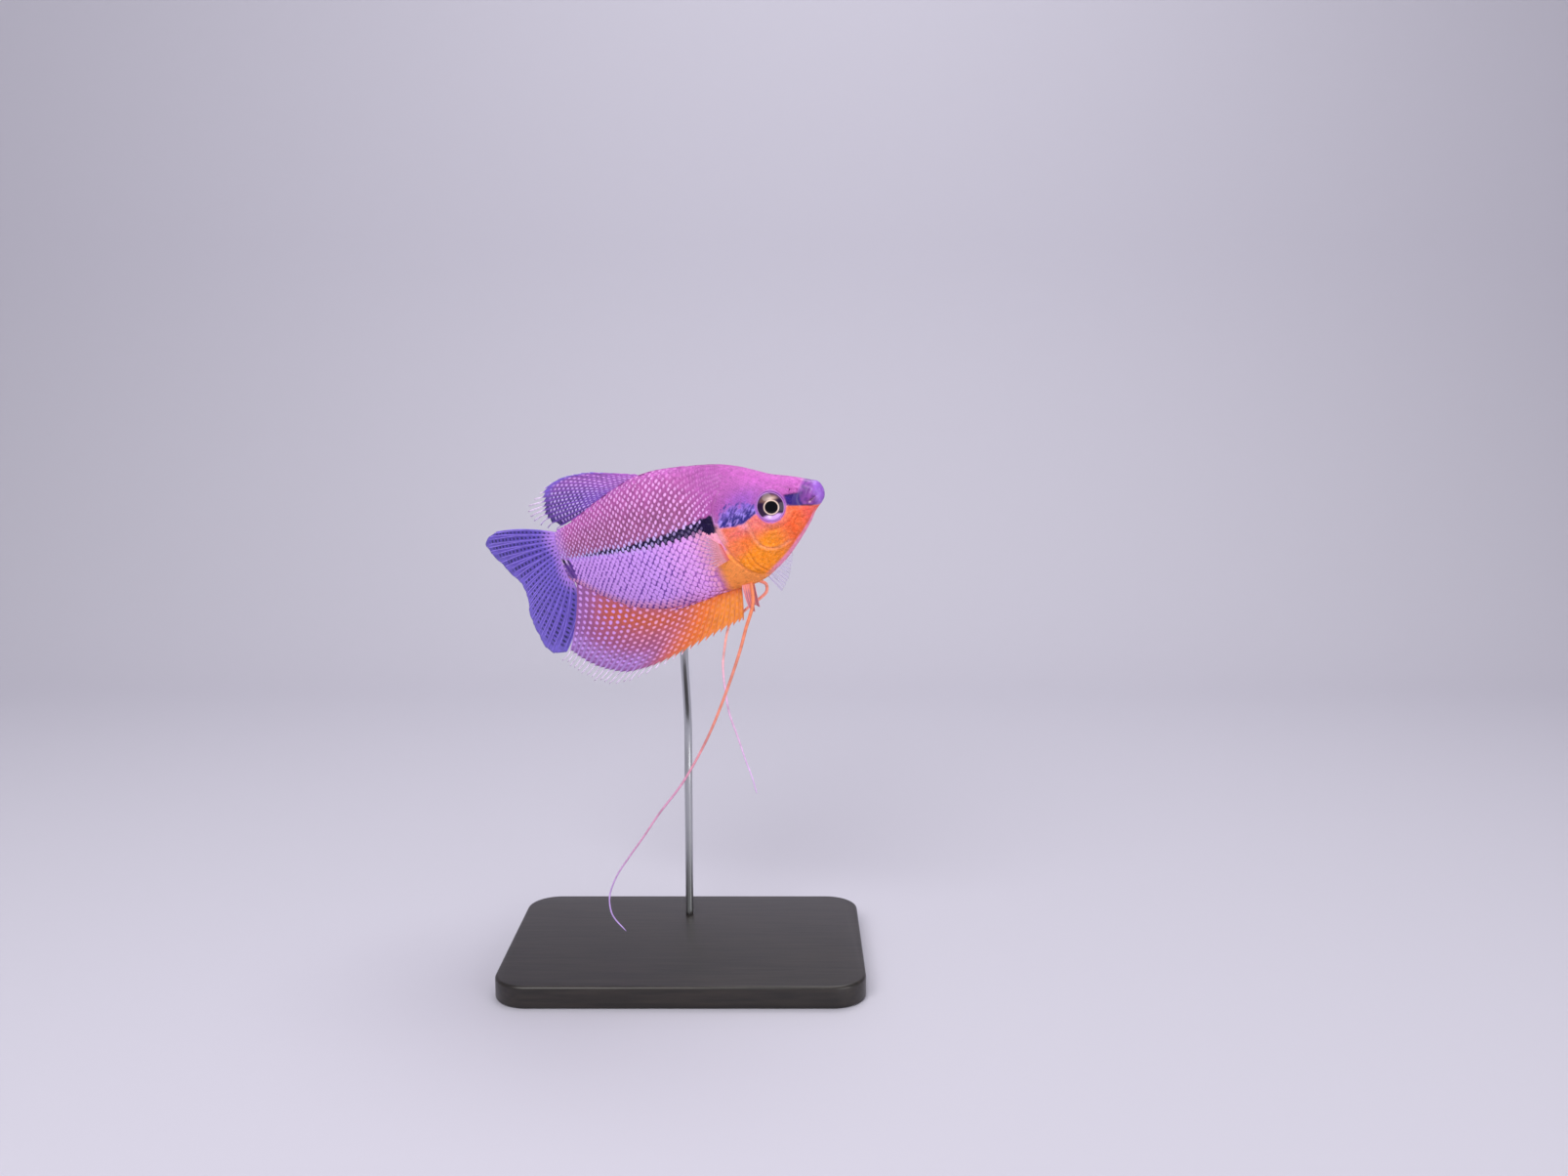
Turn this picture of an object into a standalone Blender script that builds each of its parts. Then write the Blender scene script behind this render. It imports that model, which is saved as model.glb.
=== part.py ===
"""Pearl gourami, an adult male at life size, swimming over a plain display stand.

The fish is first drawn straight, in millimetres: s runs back from the tip of the snout,
r to its own right and z up. One pose function then bends the body, leans and tips it and
carries it over the stand, so neighbouring parts keep their fit. The thin fins follow the
same function, and the two long feelers hang free from the breast.
"""

import math

import bmesh
import bpy
import numpy as np
from mathutils import Matrix, Vector
from mathutils.bvhtree import BVHTree

MM = 0.001
GAP = 0.3

# Driving sizes in millimetres. Outlines below are fractions of LENGTH.
LENGTH = 80.0
SNOUT_AT = Vector((37.0, -17.0, 130.0))
HEADING = math.radians(25.0)
NOSE_UP = math.radians(14.0)
LEAN = math.radians(10.0)

# The body turns away from the viewer towards the tail: (place, degrees).
TURN = ((0.0, 12.0), (0.3, 16.0), (0.6, 24.0), (1.0, 38.0), (1.45, 50.0))

# Outline of the body from the side and half its width from above.
BACK = (
    (0.0, 0.012), (0.012, 0.033), (0.03, 0.0475), (0.057, 0.062), (0.10, 0.081), (0.15, 0.100),
    (0.20, 0.127), (0.25, 0.154), (0.30, 0.174), (0.35, 0.186), (0.45, 0.202), (0.53, 0.209),
    (0.59, 0.208), (0.67, 0.191), (0.77, 0.160), (0.85, 0.131), (0.93, 0.105), (1.0, 0.088),
)
BELLY = (
    (0.0, -0.012), (0.015, -0.024), (0.045, -0.050), (0.066, -0.075), (0.115, -0.122),
    (0.16, -0.160), (0.21, -0.193), (0.26, -0.219), (0.31, -0.231), (0.40, -0.235),
    (0.50, -0.243), (0.61, -0.248), (0.73, -0.229), (0.86, -0.172), (0.95, -0.116), (1.0, -0.088),
)
HALF_WIDTH = (
    (0.0, 0.014), (0.03, 0.029), (0.08, 0.044), (0.16, 0.062), (0.25, 0.076), (0.35, 0.083),
    (0.45, 0.081), (0.60, 0.068), (0.80, 0.041), (0.93, 0.022), (1.0, 0.015),
)
KEEN = ((0.0, 1.0), (0.2, 1.0), (0.4, 1.15), (0.8, 1.25), (1.0, 1.1))
FULLEST = ((0.0, 1.0), (0.1, 1.05), (0.35, 0.95), (0.6, 0.85), (1.0, 1.0))

# Rear edge of the gill cover: (height from belly to back, place).
GILL_EDGE = (
    (0.0, 0.245), (0.1, 0.283), (0.25, 0.320), (0.4, 0.343), (0.55, 0.352), (0.66, 0.345),
    (0.8, 0.318), (1.0, 0.290),
)
GILL_LIFT = 0.35
TAIL_CUT = 0.80
AROUND = 28

EYE_PLACE, EYE_HEIGHT = 0.166, 0.009
EYE_RADIUS, EYE_DEPTH, EYE_OUT = 3.9, 2.3, 1.0


def through(points):
    """A smooth curve through (place, value) points that never swings past them."""
    places = np.array([point[0] for point in points])
    values = np.array([point[1] for point in points])
    steps = np.diff(places)
    slopes = np.diff(values) / steps
    tangents = np.concatenate([slopes[:1], np.zeros(len(slopes) - 1), slopes[-1:]])
    for i in range(1, len(slopes)):
        if slopes[i - 1] * slopes[i] > 0:
            before, after = 2 * steps[i] + steps[i - 1], steps[i] + 2 * steps[i - 1]
            tangents[i] = (before + after) / (before / slopes[i - 1] + after / slopes[i])

    def value(at):
        at = min(max(at, places[0]), places[-1])
        i = min(int(np.searchsorted(places, at, side="right")) - 1, len(steps) - 1)
        u = (at - places[i]) / steps[i]
        ends = values[i] * (1 + 2 * u) * (1 - u) ** 2 + values[i + 1] * (3 - 2 * u) * u * u
        bends = tangents[i] * u * (1 - u) ** 2 - tangents[i + 1] * u * u * (1 - u)
        return float(ends + bends * steps[i])

    return value


back, belly, half_width = through(BACK), through(BELLY), through(HALF_WIDTH)
keen, fullest, gill_edge = through(KEEN), through(FULLEST), through(GILL_EDGE)


def spine_track():
    """Where the bent spine runs: stations along it, its turn there, and its x and y."""
    turn_at = through(TURN)
    stations = np.arange(-10.0, 130.0, 0.5)
    turns = np.radians([turn_at(s / LENGTH) for s in stations])
    xs = -np.cumsum(np.cos(turns)) * 0.5
    ys = np.cumsum(np.sin(turns)) * 0.5
    return stations, turns, xs - np.interp(0, stations, xs), ys - np.interp(0, stations, ys)


STATIONS, TURNS, TRACK_X, TRACK_Y = spine_track()
ATTITUDE = (
    Matrix.Rotation(-HEADING, 3, "Z")
    @ Matrix.Rotation(-NOSE_UP, 3, "Y")
    @ Matrix.Rotation(LEAN, 3, "X")
    @ Matrix.Rotation(HEADING, 3, "Z")
)


def posed(point):
    """A point (s, r, z) of the straight fish, in its place over the stand, in mm."""
    s, r, z = point
    turn = np.interp(s, STATIONS, TURNS)
    x = np.interp(s, STATIONS, TRACK_X) - r * math.sin(turn)
    y = np.interp(s, STATIONS, TRACK_Y) - r * math.cos(turn)
    return SNOUT_AT + ATTITUDE @ Vector((x, y, z))


def flank(place, angle, proud=0.0):
    """A point of the skin: angle 0 is the right side, a quarter turn is the back."""
    top, low = back(place) * LENGTH, belly(place) * LENGTH
    lift = ((1 + math.sin(angle)) / 2) ** fullest(place)
    side = math.cos(angle)
    out = abs(side) ** keen(place) * (half_width(place) * LENGTH + proud)
    return Vector((place * LENGTH, math.copysign(out, side), low + (top - low) * lift))


def side_at(place, z):
    """How far the skin stands out from the middle at a height z."""
    top, low = back(place) * LENGTH, belly(place) * LENGTH
    lift = min(max((z - low) / (top - low), 0.0), 1.0) ** (1 / fullest(place))
    side = math.sqrt(max(0.0, 1 - (2 * lift - 1) ** 2))
    return side ** keen(place) * half_width(place) * LENGTH


def skin_height(place, r, edge):
    """The height of the skin at a distance r from the middle, towards the back or belly."""
    inner, outer = 0.0, edge(place) * LENGTH
    for _ in range(24):
        between = (inner + outer) / 2
        if side_at(place, between) < abs(r):
            outer = between
        else:
            inner = between
    return inner


def angles():
    """The turns of a ring, which starts at the belly and has its mirror on the left."""
    return [math.tau * k / AROUND - math.pi / 2 for k in range(AROUND)]


def height_fraction(angle):
    return (1 + math.sin(angle)) / 2


def new_object(name, mesh):
    obj = bpy.data.objects.new(name, mesh)
    PARTS.objects.link(obj)
    return obj


def object_from(name, bm):
    bmesh.ops.recalc_face_normals(bm, faces=bm.faces)
    mesh = bpy.data.meshes.new(name)
    bm.to_mesh(mesh)
    bm.free()
    return new_object(name, mesh)


def body_length(name, rows):
    """A closed length of the body. Its ends are ruled straight across from side to side."""
    bm = bmesh.new()
    rings = [[bm.verts.new(point) for point in row] for row in rows]
    for ring, after in zip(rings, rings[1:]):
        for k in range(AROUND):
            following = (k + 1) % AROUND
            bm.faces.new((ring[k], ring[following], after[following], after[k]))
    for ring in (rings[0], rings[-1]):
        for k in range(AROUND // 2):
            corners = (ring[k], ring[k + 1], ring[-k - 1], ring[-k % AROUND])
            bm.faces.new(dict.fromkeys(corners))
    return object_from(name, bm)


def gill_cover_lift(share, angle):
    """The cover stands a little proud towards its rear edge, on the cheeks only."""
    rise = min(max((share - 0.78) / 0.16, 0.0), 1.0)
    height = height_fraction(angle)
    cheek = min(max((height - 0.04) / 0.12, 0.0), 1.0) * min(max((0.8 - height) / 0.15, 0.0), 1.0)
    return GILL_LIFT * rise * rise * (3 - 2 * rise) * cheek


def head_rows():
    shares = [(k / 22) ** 1.25 for k in range(23)]
    rows = []
    for share in shares:
        row = []
        for angle in angles():
            edge = gill_edge(height_fraction(angle)) - GAP / 2 / LENGTH
            row.append(flank(share * edge, angle, gill_cover_lift(share, angle)))
        rows.append(row)
    return rows


def trunk_rows():
    rows = []
    for k in range(21):
        row = []
        for angle in angles():
            edge = gill_edge(height_fraction(angle)) + GAP / 2 / LENGTH
            end = TAIL_CUT - GAP / 2 / LENGTH
            row.append(flank(edge + (end - edge) * k / 20, angle))
        rows.append(row)
    return rows


def tail_rows():
    start = TAIL_CUT + GAP / 2 / LENGTH
    places = [start + (1 - start) * k / 9 for k in range(10)]
    return [[flank(place, angle) for angle in angles()] for place in places]


def tube(name, points, radii, roundness=2):
    """A round strand along points in mm, with its own radius at each, made a mesh."""
    curve = bpy.data.curves.new(name, "CURVE")
    curve.dimensions = "3D"
    curve.bevel_depth = 1.0
    curve.bevel_resolution = roundness
    curve.use_fill_caps = True
    spline = curve.splines.new("POLY")
    spline.points.add(len(points) - 1)
    for knot, point, radius in zip(spline.points, points, radii):
        knot.co = (*point, 1.0)
        knot.radius = radius
    strand = new_object(name + "_curve", curve)
    graph = bpy.context.evaluated_depsgraph_get()
    mesh = bpy.data.meshes.new_from_object(strand.evaluated_get(graph))
    bpy.data.objects.remove(strand)
    bm = bmesh.new()
    bm.from_mesh(mesh)
    bmesh.ops.remove_doubles(bm, verts=bm.verts, dist=0.0001)
    return object_from(name, bm)


def smooth_path(points, count):
    """Evenly spaced points along a smooth curve through a route."""
    route = [Vector(point) for point in points]
    route = [2 * route[0] - route[1], *route, 2 * route[-1] - route[-2]]
    dense = []
    for a, b, c, d in zip(route, route[1:], route[2:], route[3:]):
        for step in range(16):
            u = step / 16
            dense.append(
                0.5 * (2 * b + (c - a) * u + (2 * a - 5 * b + 4 * c - d) * u * u
                       + (3 * b - a - 3 * c + d) * u ** 3)
            )
    dense.append(route[-2])
    lengths = np.cumsum([0.0] + [(q - p).length for p, q in zip(dense, dense[1:])])
    marks = np.linspace(0, lengths[-1], count)
    return [Vector([np.interp(mark, lengths, [p[axis] for p in dense]) for axis in range(3)])
            for mark in marks]


def boolean(obj, others, operation):
    """One Boolean on a collection of closed meshes, applied, and the collection removed."""
    tools = bpy.data.collections.new("tools")
    CUTTERS.children.link(tools)
    for other in others:
        PARTS.objects.unlink(other)
        tools.objects.link(other)
        other.hide_render = True
        other.display_type = "WIRE"
    modifier = obj.modifiers.new("join", "BOOLEAN")
    modifier.operation = operation
    modifier.operand_type = "COLLECTION"
    modifier.collection = tools
    modifier.solver = "EXACT"
    graph = bpy.context.evaluated_depsgraph_get()
    mesh = bpy.data.meshes.new_from_object(obj.evaluated_get(graph))
    obj.modifiers.remove(modifier)
    obj.data = mesh
    for other in others:
        bpy.data.objects.remove(other)
    bpy.data.collections.remove(tools)
    keep_largest(obj)


def keep_largest(obj):
    """Leaves only the largest closed surface of the mesh."""
    bm = bmesh.new()
    bm.from_mesh(obj.data)
    unseen, shells = set(bm.faces), []
    while unseen:
        front, shell = [unseen.pop()], []
        while front:
            face = front.pop()
            shell.append(face)
            for edge in face.edges:
                for neighbour in edge.link_faces:
                    if neighbour in unseen:
                        unseen.remove(neighbour)
                        front.append(neighbour)
        shells.append(shell)
    shells.sort(key=lambda shell: sum(face.calc_area() for face in shell))
    loose = [face for shell in shells[:-1] for face in shell]
    if loose:
        bmesh.ops.delete(bm, geom=loose, context="FACES")
    bm.to_mesh(obj.data)
    bm.free()


def ball(name, centre, radii):
    bm = bmesh.new()
    bmesh.ops.create_uvsphere(bm, u_segments=18, v_segments=10, radius=1.0)
    bmesh.ops.transform(bm, verts=bm.verts, matrix=Matrix.Rotation(math.pi / 2, 4, "X"))
    bmesh.ops.scale(bm, verts=bm.verts, vec=radii)
    bmesh.ops.translate(bm, verts=bm.verts, vec=centre)
    return object_from(name, bm)


def fin(name, rays, ray, half_thick, margin, seat, face=(0, 1, 0)):
    """A membrane with its rays raised in its own surface, and their tips free past it.

    ray(u, v) gives the middle of the fin, u from the first ray to the last and v from the
    root to the tip. half_thick(v) is half its thickness, margin(u) where the membrane ends,
    seat(point) lays a corner of the root along the skin, and face is the way the fin faces.
    """
    width, rows, ridge = 0.24 / (rays - 1), 5, 0.22
    places = []
    for k in range(rays):
        u = k / (rays - 1)
        places += [(u, max(0.0, u - width)), (u, u), (u, min(1.0, u + width))]
    bm = bmesh.new()

    def corner(centre, u, v, side):
        raised = ridge * (1 - 0.6 * v) if u == centre else 0.0
        point = ray(u, v) + Vector(face) * side * (half_thick(v) + raised)
        return bm.verts.new(seat(point) if v == 0 else point)

    near, far = (
        [[corner(centre, u, margin(centre) * k / rows, side) for k in range(rows + 1)]
         for centre, u in places]
        for side in (1, -1)
    )

    def cell(a, b, c, d):
        bm.faces.new((a, b, c))
        bm.faces.new((a, c, d))

    for i in range(len(places) - 1):
        for k in range(rows):
            cell(near[i][k], near[i + 1][k], near[i + 1][k + 1], near[i][k + 1])
            cell(far[i][k], far[i + 1][k], far[i + 1][k + 1], far[i][k + 1])
        cell(near[i][0], near[i + 1][0], far[i + 1][0], far[i][0])
    for i in (0, -1):
        for k in range(rows):
            cell(near[i][k], near[i][k + 1], far[i][k + 1], far[i][k])
    for k in range(rays):
        left, middle, right = 3 * k, 3 * k + 1, 3 * k + 2
        tip = bm.verts.new(ray(k / (rays - 1), 1.0))
        rim = [near[left][-1], near[middle][-1], near[right][-1]]
        rim += [far[right][-1], far[middle][-1], far[left][-1]]
        for a, b in zip(rim, rim[1:] + rim[:1]):
            bm.faces.new((a, b, tip))
        if k < rays - 1:
            after = right + 1
            cell(near[right][-1], near[after][-1], far[after][-1], far[right][-1])
    return object_from(name, bm)


def bent(root, middle, tip, v):
    """A point along a ray that leaves its root towards the middle point."""
    return root * (1 - v) ** 2 + middle * 2 * v * (1 - v) + tip * v * v


def swept(root, middle, edge, tip, v):
    """Along a ray to the membrane's edge at four fifths, then along its free thread."""
    if v <= 0.8:
        return bent(root, middle, edge, v / 0.8)
    return edge.lerp(tip, (v - 0.8) / 0.2)


def seat_along(edge, gap):
    """Lays a fin's root along the back or the belly, a gap away from the skin."""
    return lambda point: Vector((point.x, point.y, edge(point.x / LENGTH) * LENGTH + gap))


def thinning(root, tip):
    """Half the thickness of a fin from its root to its margin, in mm."""
    return lambda v: tip + (root - tip) * max(0.0, 1 - v * 1.6) ** 2


# Edges of the membranes and tips of the rays: (share of the rays, place, height).
DORSAL_EDGE = (
    (0.0, 0.618, 0.214), (0.12, 0.70, 0.238), (0.26, 0.80, 0.260), (0.38, 0.875, 0.262),
    (0.48, 0.935, 0.250), (0.56, 0.970, 0.234), (0.62, 0.988, 0.216), (0.68, 1.002, 0.198),
    (0.74, 1.015, 0.180), (0.80, 1.026, 0.163), (0.85, 1.030, 0.148), (0.90, 1.025, 0.132),
    (0.95, 1.008, 0.114), (1.0, 0.975, 0.099),
)
DORSAL_TIPS = (
    (0.0, 0.625, 0.221), (0.12, 0.707, 0.244), (0.26, 0.81, 0.266), (0.38, 0.888, 0.267),
    (0.48, 0.955, 0.251), (0.56, 1.005, 0.231), (0.62, 1.050, 0.213), (0.68, 1.090, 0.193),
    (0.74, 1.109, 0.170), (0.80, 1.106, 0.149), (0.85, 1.096, 0.132), (0.90, 1.070, 0.114),
    (0.95, 1.042, 0.099), (1.0, 1.002, 0.088),
)
ANAL_EDGE = (
    (0.0, 0.384, -0.338), (0.08, 0.468, -0.358), (0.184, 0.580, -0.389), (0.30, 0.700, -0.418),
    (0.40, 0.790, -0.432), (0.50, 0.873, -0.438), (0.60, 0.940, -0.426), (0.70, 0.992, -0.410),
    (0.80, 1.040, -0.386), (0.90, 1.075, -0.358), (1.0, 1.097, -0.331),
)
ANAL_TIPS = (
    (0.0, 0.384, -0.352), (0.08, 0.472, -0.369), (0.184, 0.590, -0.402), (0.30, 0.722, -0.434),
    (0.40, 0.834, -0.459), (0.50, 0.935, -0.474), (0.60, 1.012, -0.465), (0.70, 1.054, -0.446),
    (0.80, 1.096, -0.418), (0.90, 1.128, -0.393), (1.0, 1.156, -0.364),
)
TAIL_TIPS = (
    (0.0, 1.330, 0.125), (0.05, 1.395, 0.110), (0.10, 1.427, 0.084), (0.16, 1.408, 0.055),
    (0.25, 1.352, 0.003), (0.34, 1.300, -0.048), (0.42, 1.264, -0.086), (0.52, 1.264, -0.135),
    (0.62, 1.290, -0.185), (0.72, 1.300, -0.237), (0.82, 1.300, -0.294), (0.90, 1.292, -0.340),
    (0.96, 1.252, -0.362), (1.0, 1.195, -0.360),
)


def tips(table):
    place, height = through([t[:2] for t in table]), through([(t[0], t[2]) for t in table])
    return lambda u: (place(u) * LENGTH, height(u) * LENGTH)


def dorsal_fin():
    edge_at, tip_at = tips(DORSAL_EDGE), tips(DORSAL_TIPS)

    def ray(u, v):
        place = 0.588 + 0.182 * u
        root = Vector((place * LENGTH, 0, back(place) * LENGTH + GAP))
        edge = Vector((edge_at(u)[0], -3.2 * u * u, edge_at(u)[1]))
        tip = Vector((tip_at(u)[0], -4.0 * u * u, tip_at(u)[1]))
        middle = root.lerp(edge, 0.5) + Vector((-1.0, 0.6 * u, 1.8 * u + 0.5 - 2.6 * u ** 4))
        return swept(root, middle, edge, tip, v)

    return fin("dorsal_fin", 16, ray, thinning(0.7, 0.28), lambda u: 0.8, seat_along(back, GAP))


def anal_fin():
    edge_at, tip_at = tips(ANAL_EDGE), tips(ANAL_TIPS)

    def ray(number, v):
        u = number ** 1.25
        place = 0.357 + 0.616 * u
        root = Vector((place * LENGTH, 0, belly(place) * LENGTH - GAP))
        away = 0.8 * math.sin(5.0 * u + 0.5) + 2.6 * u * u
        edge = Vector((edge_at(u)[0], 0.8 * away, edge_at(u)[1]))
        tip = Vector((tip_at(u)[0], away, tip_at(u)[1]))
        way = edge - root
        middle = root + Vector(((0.40 - 0.12 * u) * way.x, 0.35 * away, 0.53 * way.z))
        return swept(root, middle, edge, tip, v)

    return fin("anal_fin", 30, ray, thinning(0.65, 0.28), lambda u: 0.8, seat_along(belly, -GAP))


def tail_fin():
    tip_at = tips(TAIL_TIPS)

    def ray(u, v):
        top, bottom = back(1.0) * LENGTH - 0.4, belly(1.0) * LENGTH + 0.4
        root = Vector((LENGTH + GAP, 0, top + (bottom - top) * u))
        s, z = tip_at(u)
        tip = Vector((s, 1.5 * math.sin(math.pi * u) - 2.0 * u, z))
        low = u ** 6
        high = 1.5 * (1 - u) ** 6
        shift = Vector((2.0 * u - 9.0 * low, 0.4 - 2.2 * low, 1.6 * (0.5 - u) + 0.8 * low + high))
        middle = root.lerp(tip, 0.45) + shift
        return bent(root, middle, tip, v)

    seat = lambda point: Vector((LENGTH + GAP, point.y, point.z))
    return fin("tail_fin", 16, ray, thinning(0.95, 0.28), lambda u: 0.965, seat)


def pectoral_fin(name, side, aim, spread, length):
    """A fan of rays from a short root behind the gill cover. aim and spread span the fan."""
    aim, spread = Vector(aim).normalized(), Vector(spread).normalized()
    out = aim.cross(spread).normalized()

    def ray(u, v):
        z = (-0.068 - 0.052 * u) * LENGTH
        place = 0.350 - 0.008 * u
        root = Vector((place * LENGTH, side * (side_at(place, z) + GAP + 0.3), z))
        turn = math.radians(32.0) * (1 - 2 * u)
        reach = length * (0.80 + 0.20 * math.sin(math.pi * (0.12 + 0.75 * u)))
        tip = root + (aim * math.cos(turn) + spread * math.sin(turn)) * reach
        middle = root.lerp(tip, 0.5) + out * 0.9
        return bent(root, middle, tip, v)

    def seat(point):
        skin = side_at(point.x / LENGTH, point.z) + GAP
        return Vector((point.x, side * skin, point.z))

    return fin(name, 11, ray, thinning(0.45, 0.26), lambda u: 0.95, seat, out)


def pelvic_fin(name, side, route, thick):
    """The one long ray of the pelvic fin, with the little membrane behind its root."""

    def ray(u, v):
        place = 0.316 + 0.030 * u
        root = Vector((place * LENGTH, side * 1.5, skin_height(place, 1.5, belly) - GAP))
        tip = root + Vector((1.0 + 0.8 * u, side * (0.9 - 0.5 * u), -7.4 + 3.4 * u))
        return bent(root, root.lerp(tip, 0.5), tip, v)

    web = fin(name + "_web", 4, ray, thinning(0.4, 0.26), lambda u: 0.93, lambda point: point)
    pose_mesh(web)
    start = posed((0.313 * LENGTH, side * 1.5, skin_height(0.313, 1.5, belly) - GAP - 0.25))
    path = smooth_path([start] + [SNOUT_AT + Vector(point) for point in route], 46)
    radii = [thick * (1 - 0.62 * (k / 45) ** 0.8) for k in range(44)] + [thick * 0.34, thick * 0.2]
    strand = tube(name, path, radii, 1)
    boolean(strand, [web], "UNION")
    return strand


# Routes of the feelers from below their roots to their tips, in mm from the snout.
NEAR_FEELER = (
    (-18.3, 4.9, -29.2), (-20.1, 4.7, -35.5), (-21.9, 4.9, -42.2), (-25.5, 5.8, -53.0),
    (-30.5, 7.0, -65.4), (-36.9, 8.3, -77.3), (-43.4, 9.3, -86.2), (-47.7, 10.0, -92.8),
    (-52.0, 10.5, -99.0), (-55.2, 10.8, -104.0), (-57.2, 11.0, -109.1), (-57.3, 11.0, -112.9),
    (-56.2, 10.8, -116.0), (-53.0, 10.5, -119.6),
)
FAR_FEELER = (
    (-16.1, 8.6, -23.9), (-14.9, 9.2, -24.7), (-14.8, 9.6, -26.6), (-16.2, 9.9, -28.2),
    (-18.6, 10.3, -30.1), (-21.3, 11.3, -32.6), (-24.7, 12.5, -36.1), (-26.2, 13.0, -43.7),
    (-26.4, 12.5, -48.4), (-25.7, 11.5, -54.2), (-24.7, 11.0, -59.7), (-22.4, 10.5, -66.2),
    (-20.4, 10.0, -72.2), (-18.8, 9.5, -76.3), (-17.5, 9.0, -80.8),
)


def pose_mesh(obj):
    for vertex in obj.data.vertices:
        vertex.co = posed(vertex.co)


def eye_centre(side):
    z = EYE_HEIGHT * LENGTH
    out = side_at(EYE_PLACE, z) + EYE_OUT - EYE_DEPTH
    return Vector((EYE_PLACE * LENGTH, side * out, z))


def eye(name, side):
    return ball(name, eye_centre(side), (EYE_RADIUS, EYE_DEPTH, EYE_RADIUS))


def orbit_rim(side):
    """The low round rim of skin that holds the eye."""
    turns, radius = 24, EYE_RADIUS + 0.45
    points = []
    for k in range(turns):
        angle = math.tau * k / turns
        s = EYE_PLACE * LENGTH + radius * math.cos(angle)
        z = EYE_HEIGHT * LENGTH + radius * math.sin(angle)
        points.append(Vector((s, side * (side_at(s / LENGTH, z) - 0.05), z)))
    bm = bmesh.new()
    centre = eye_centre(side)
    rings = []
    for point in points:
        outward = Vector((point.x - centre.x, 0, point.z - centre.z)).normalized()
        rings.append([
            bm.verts.new(point + outward * 0.55 * math.cos(a) + Vector((0, 0.4 * math.sin(a), 0)))
            for a in (math.tau * j / 6 for j in range(6))
        ])
    for ring, after in zip(rings, rings[1:] + rings[:1]):
        for j in range(6):
            following = (j + 1) % 6
            bm.faces.new((ring[j], ring[following], after[following], after[j]))
    return object_from("orbit_rim", bm)


def lip(name, front, corner, middle, radii):
    """A lip round the front of the jaws from one corner of the mouth to the other."""
    right = [Vector(corner), Vector(middle)]
    left = [Vector((point.x, -point.y, point.z)) for point in reversed(right)]
    path = smooth_path(right + [Vector(front)] + left, 17)
    thick = through(radii)
    return tube(name, path, [thick(abs(k - 8) / 8) for k in range(17)])


def head():
    core = body_length("head", head_rows())
    upper = lip("upper_lip", (1.85, 0, 2.15), (4.9, 2.45, -0.5), (3.0, 1.8, 1.0),
                ((0.0, 1.50), (0.5, 1.25), (1.0, 0.55)))
    lower = lip("lower_lip", (1.50, 0, -0.80), (4.9, 2.35, -1.7), (2.7, 1.65, -1.3),
                ((0.0, 1.40), (0.5, 1.10), (1.0, 0.5)))
    between = lip("between_lips", (2.05, 0, 0.68), (4.9, 2.40, -1.1), (3.0, 1.75, -0.15),
                  ((0.0, 1.45), (0.5, 1.20), (1.0, 0.5)))
    boolean(core, [upper, lower, between, orbit_rim(1), orbit_rim(-1)], "UNION")
    cuts = []
    for side in (1, -1):
        room = EYE_RADIUS + GAP
        cuts.append(ball("socket", eye_centre(side), (room, EYE_DEPTH + GAP, room)))
        for s, z in ((6.2, 2.9), (7.9, 3.4)):
            out = side_at(s / LENGTH, z)
            cuts.append(ball("nostril", Vector((s, side * out, z)), (0.34, 0.5, 0.34)))
    boolean(core, cuts, "DIFFERENCE")
    return core


BASE_LENGTH, BASE_WIDTH, BASE_THICK, BASE_CORNER = 96.0, 66.0, 6.0, 9.0
ROD_RADIUS, ROD_SIDES = 1.1, 12
ROD_FOOT_BACK, ROD_BEND = 18.0, 22.0
ROD_TOP_PLACE, ROD_TOP_SIDE, ROD_LEAN = 0.58, 2.7, Vector((0.0, -0.36, 1.0))


def stand_base():
    outline = bmesh.new()
    corners = []
    for x, y, start in ((1, 1, 0), (-1, 1, 1), (-1, -1, 2), (1, -1, 3)):
        centre = Vector((x * (BASE_LENGTH / 2 - BASE_CORNER), y * (BASE_WIDTH / 2 - BASE_CORNER), 0))
        for k in range(7):
            angle = (start + k / 6) * math.pi / 2
            corners.append(centre + BASE_CORNER * Vector((math.cos(angle), math.sin(angle), 0)))
    face = outline.faces.new([outline.verts.new(corner) for corner in corners])
    grown = bmesh.ops.extrude_face_region(outline, geom=[face])["geom"]
    raised = [item for item in grown if isinstance(item, bmesh.types.BMVert)]
    bmesh.ops.translate(outline, verts=raised, vec=(0, 0, BASE_THICK))
    top = [edge for edge in outline.edges if all(v.co.z > BASE_THICK / 2 for v in edge.verts)]
    bmesh.ops.bevel(outline, geom=top, offset=0.8, segments=2, affect="EDGES", profile=0.5)
    return object_from("stand_base", outline)


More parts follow.
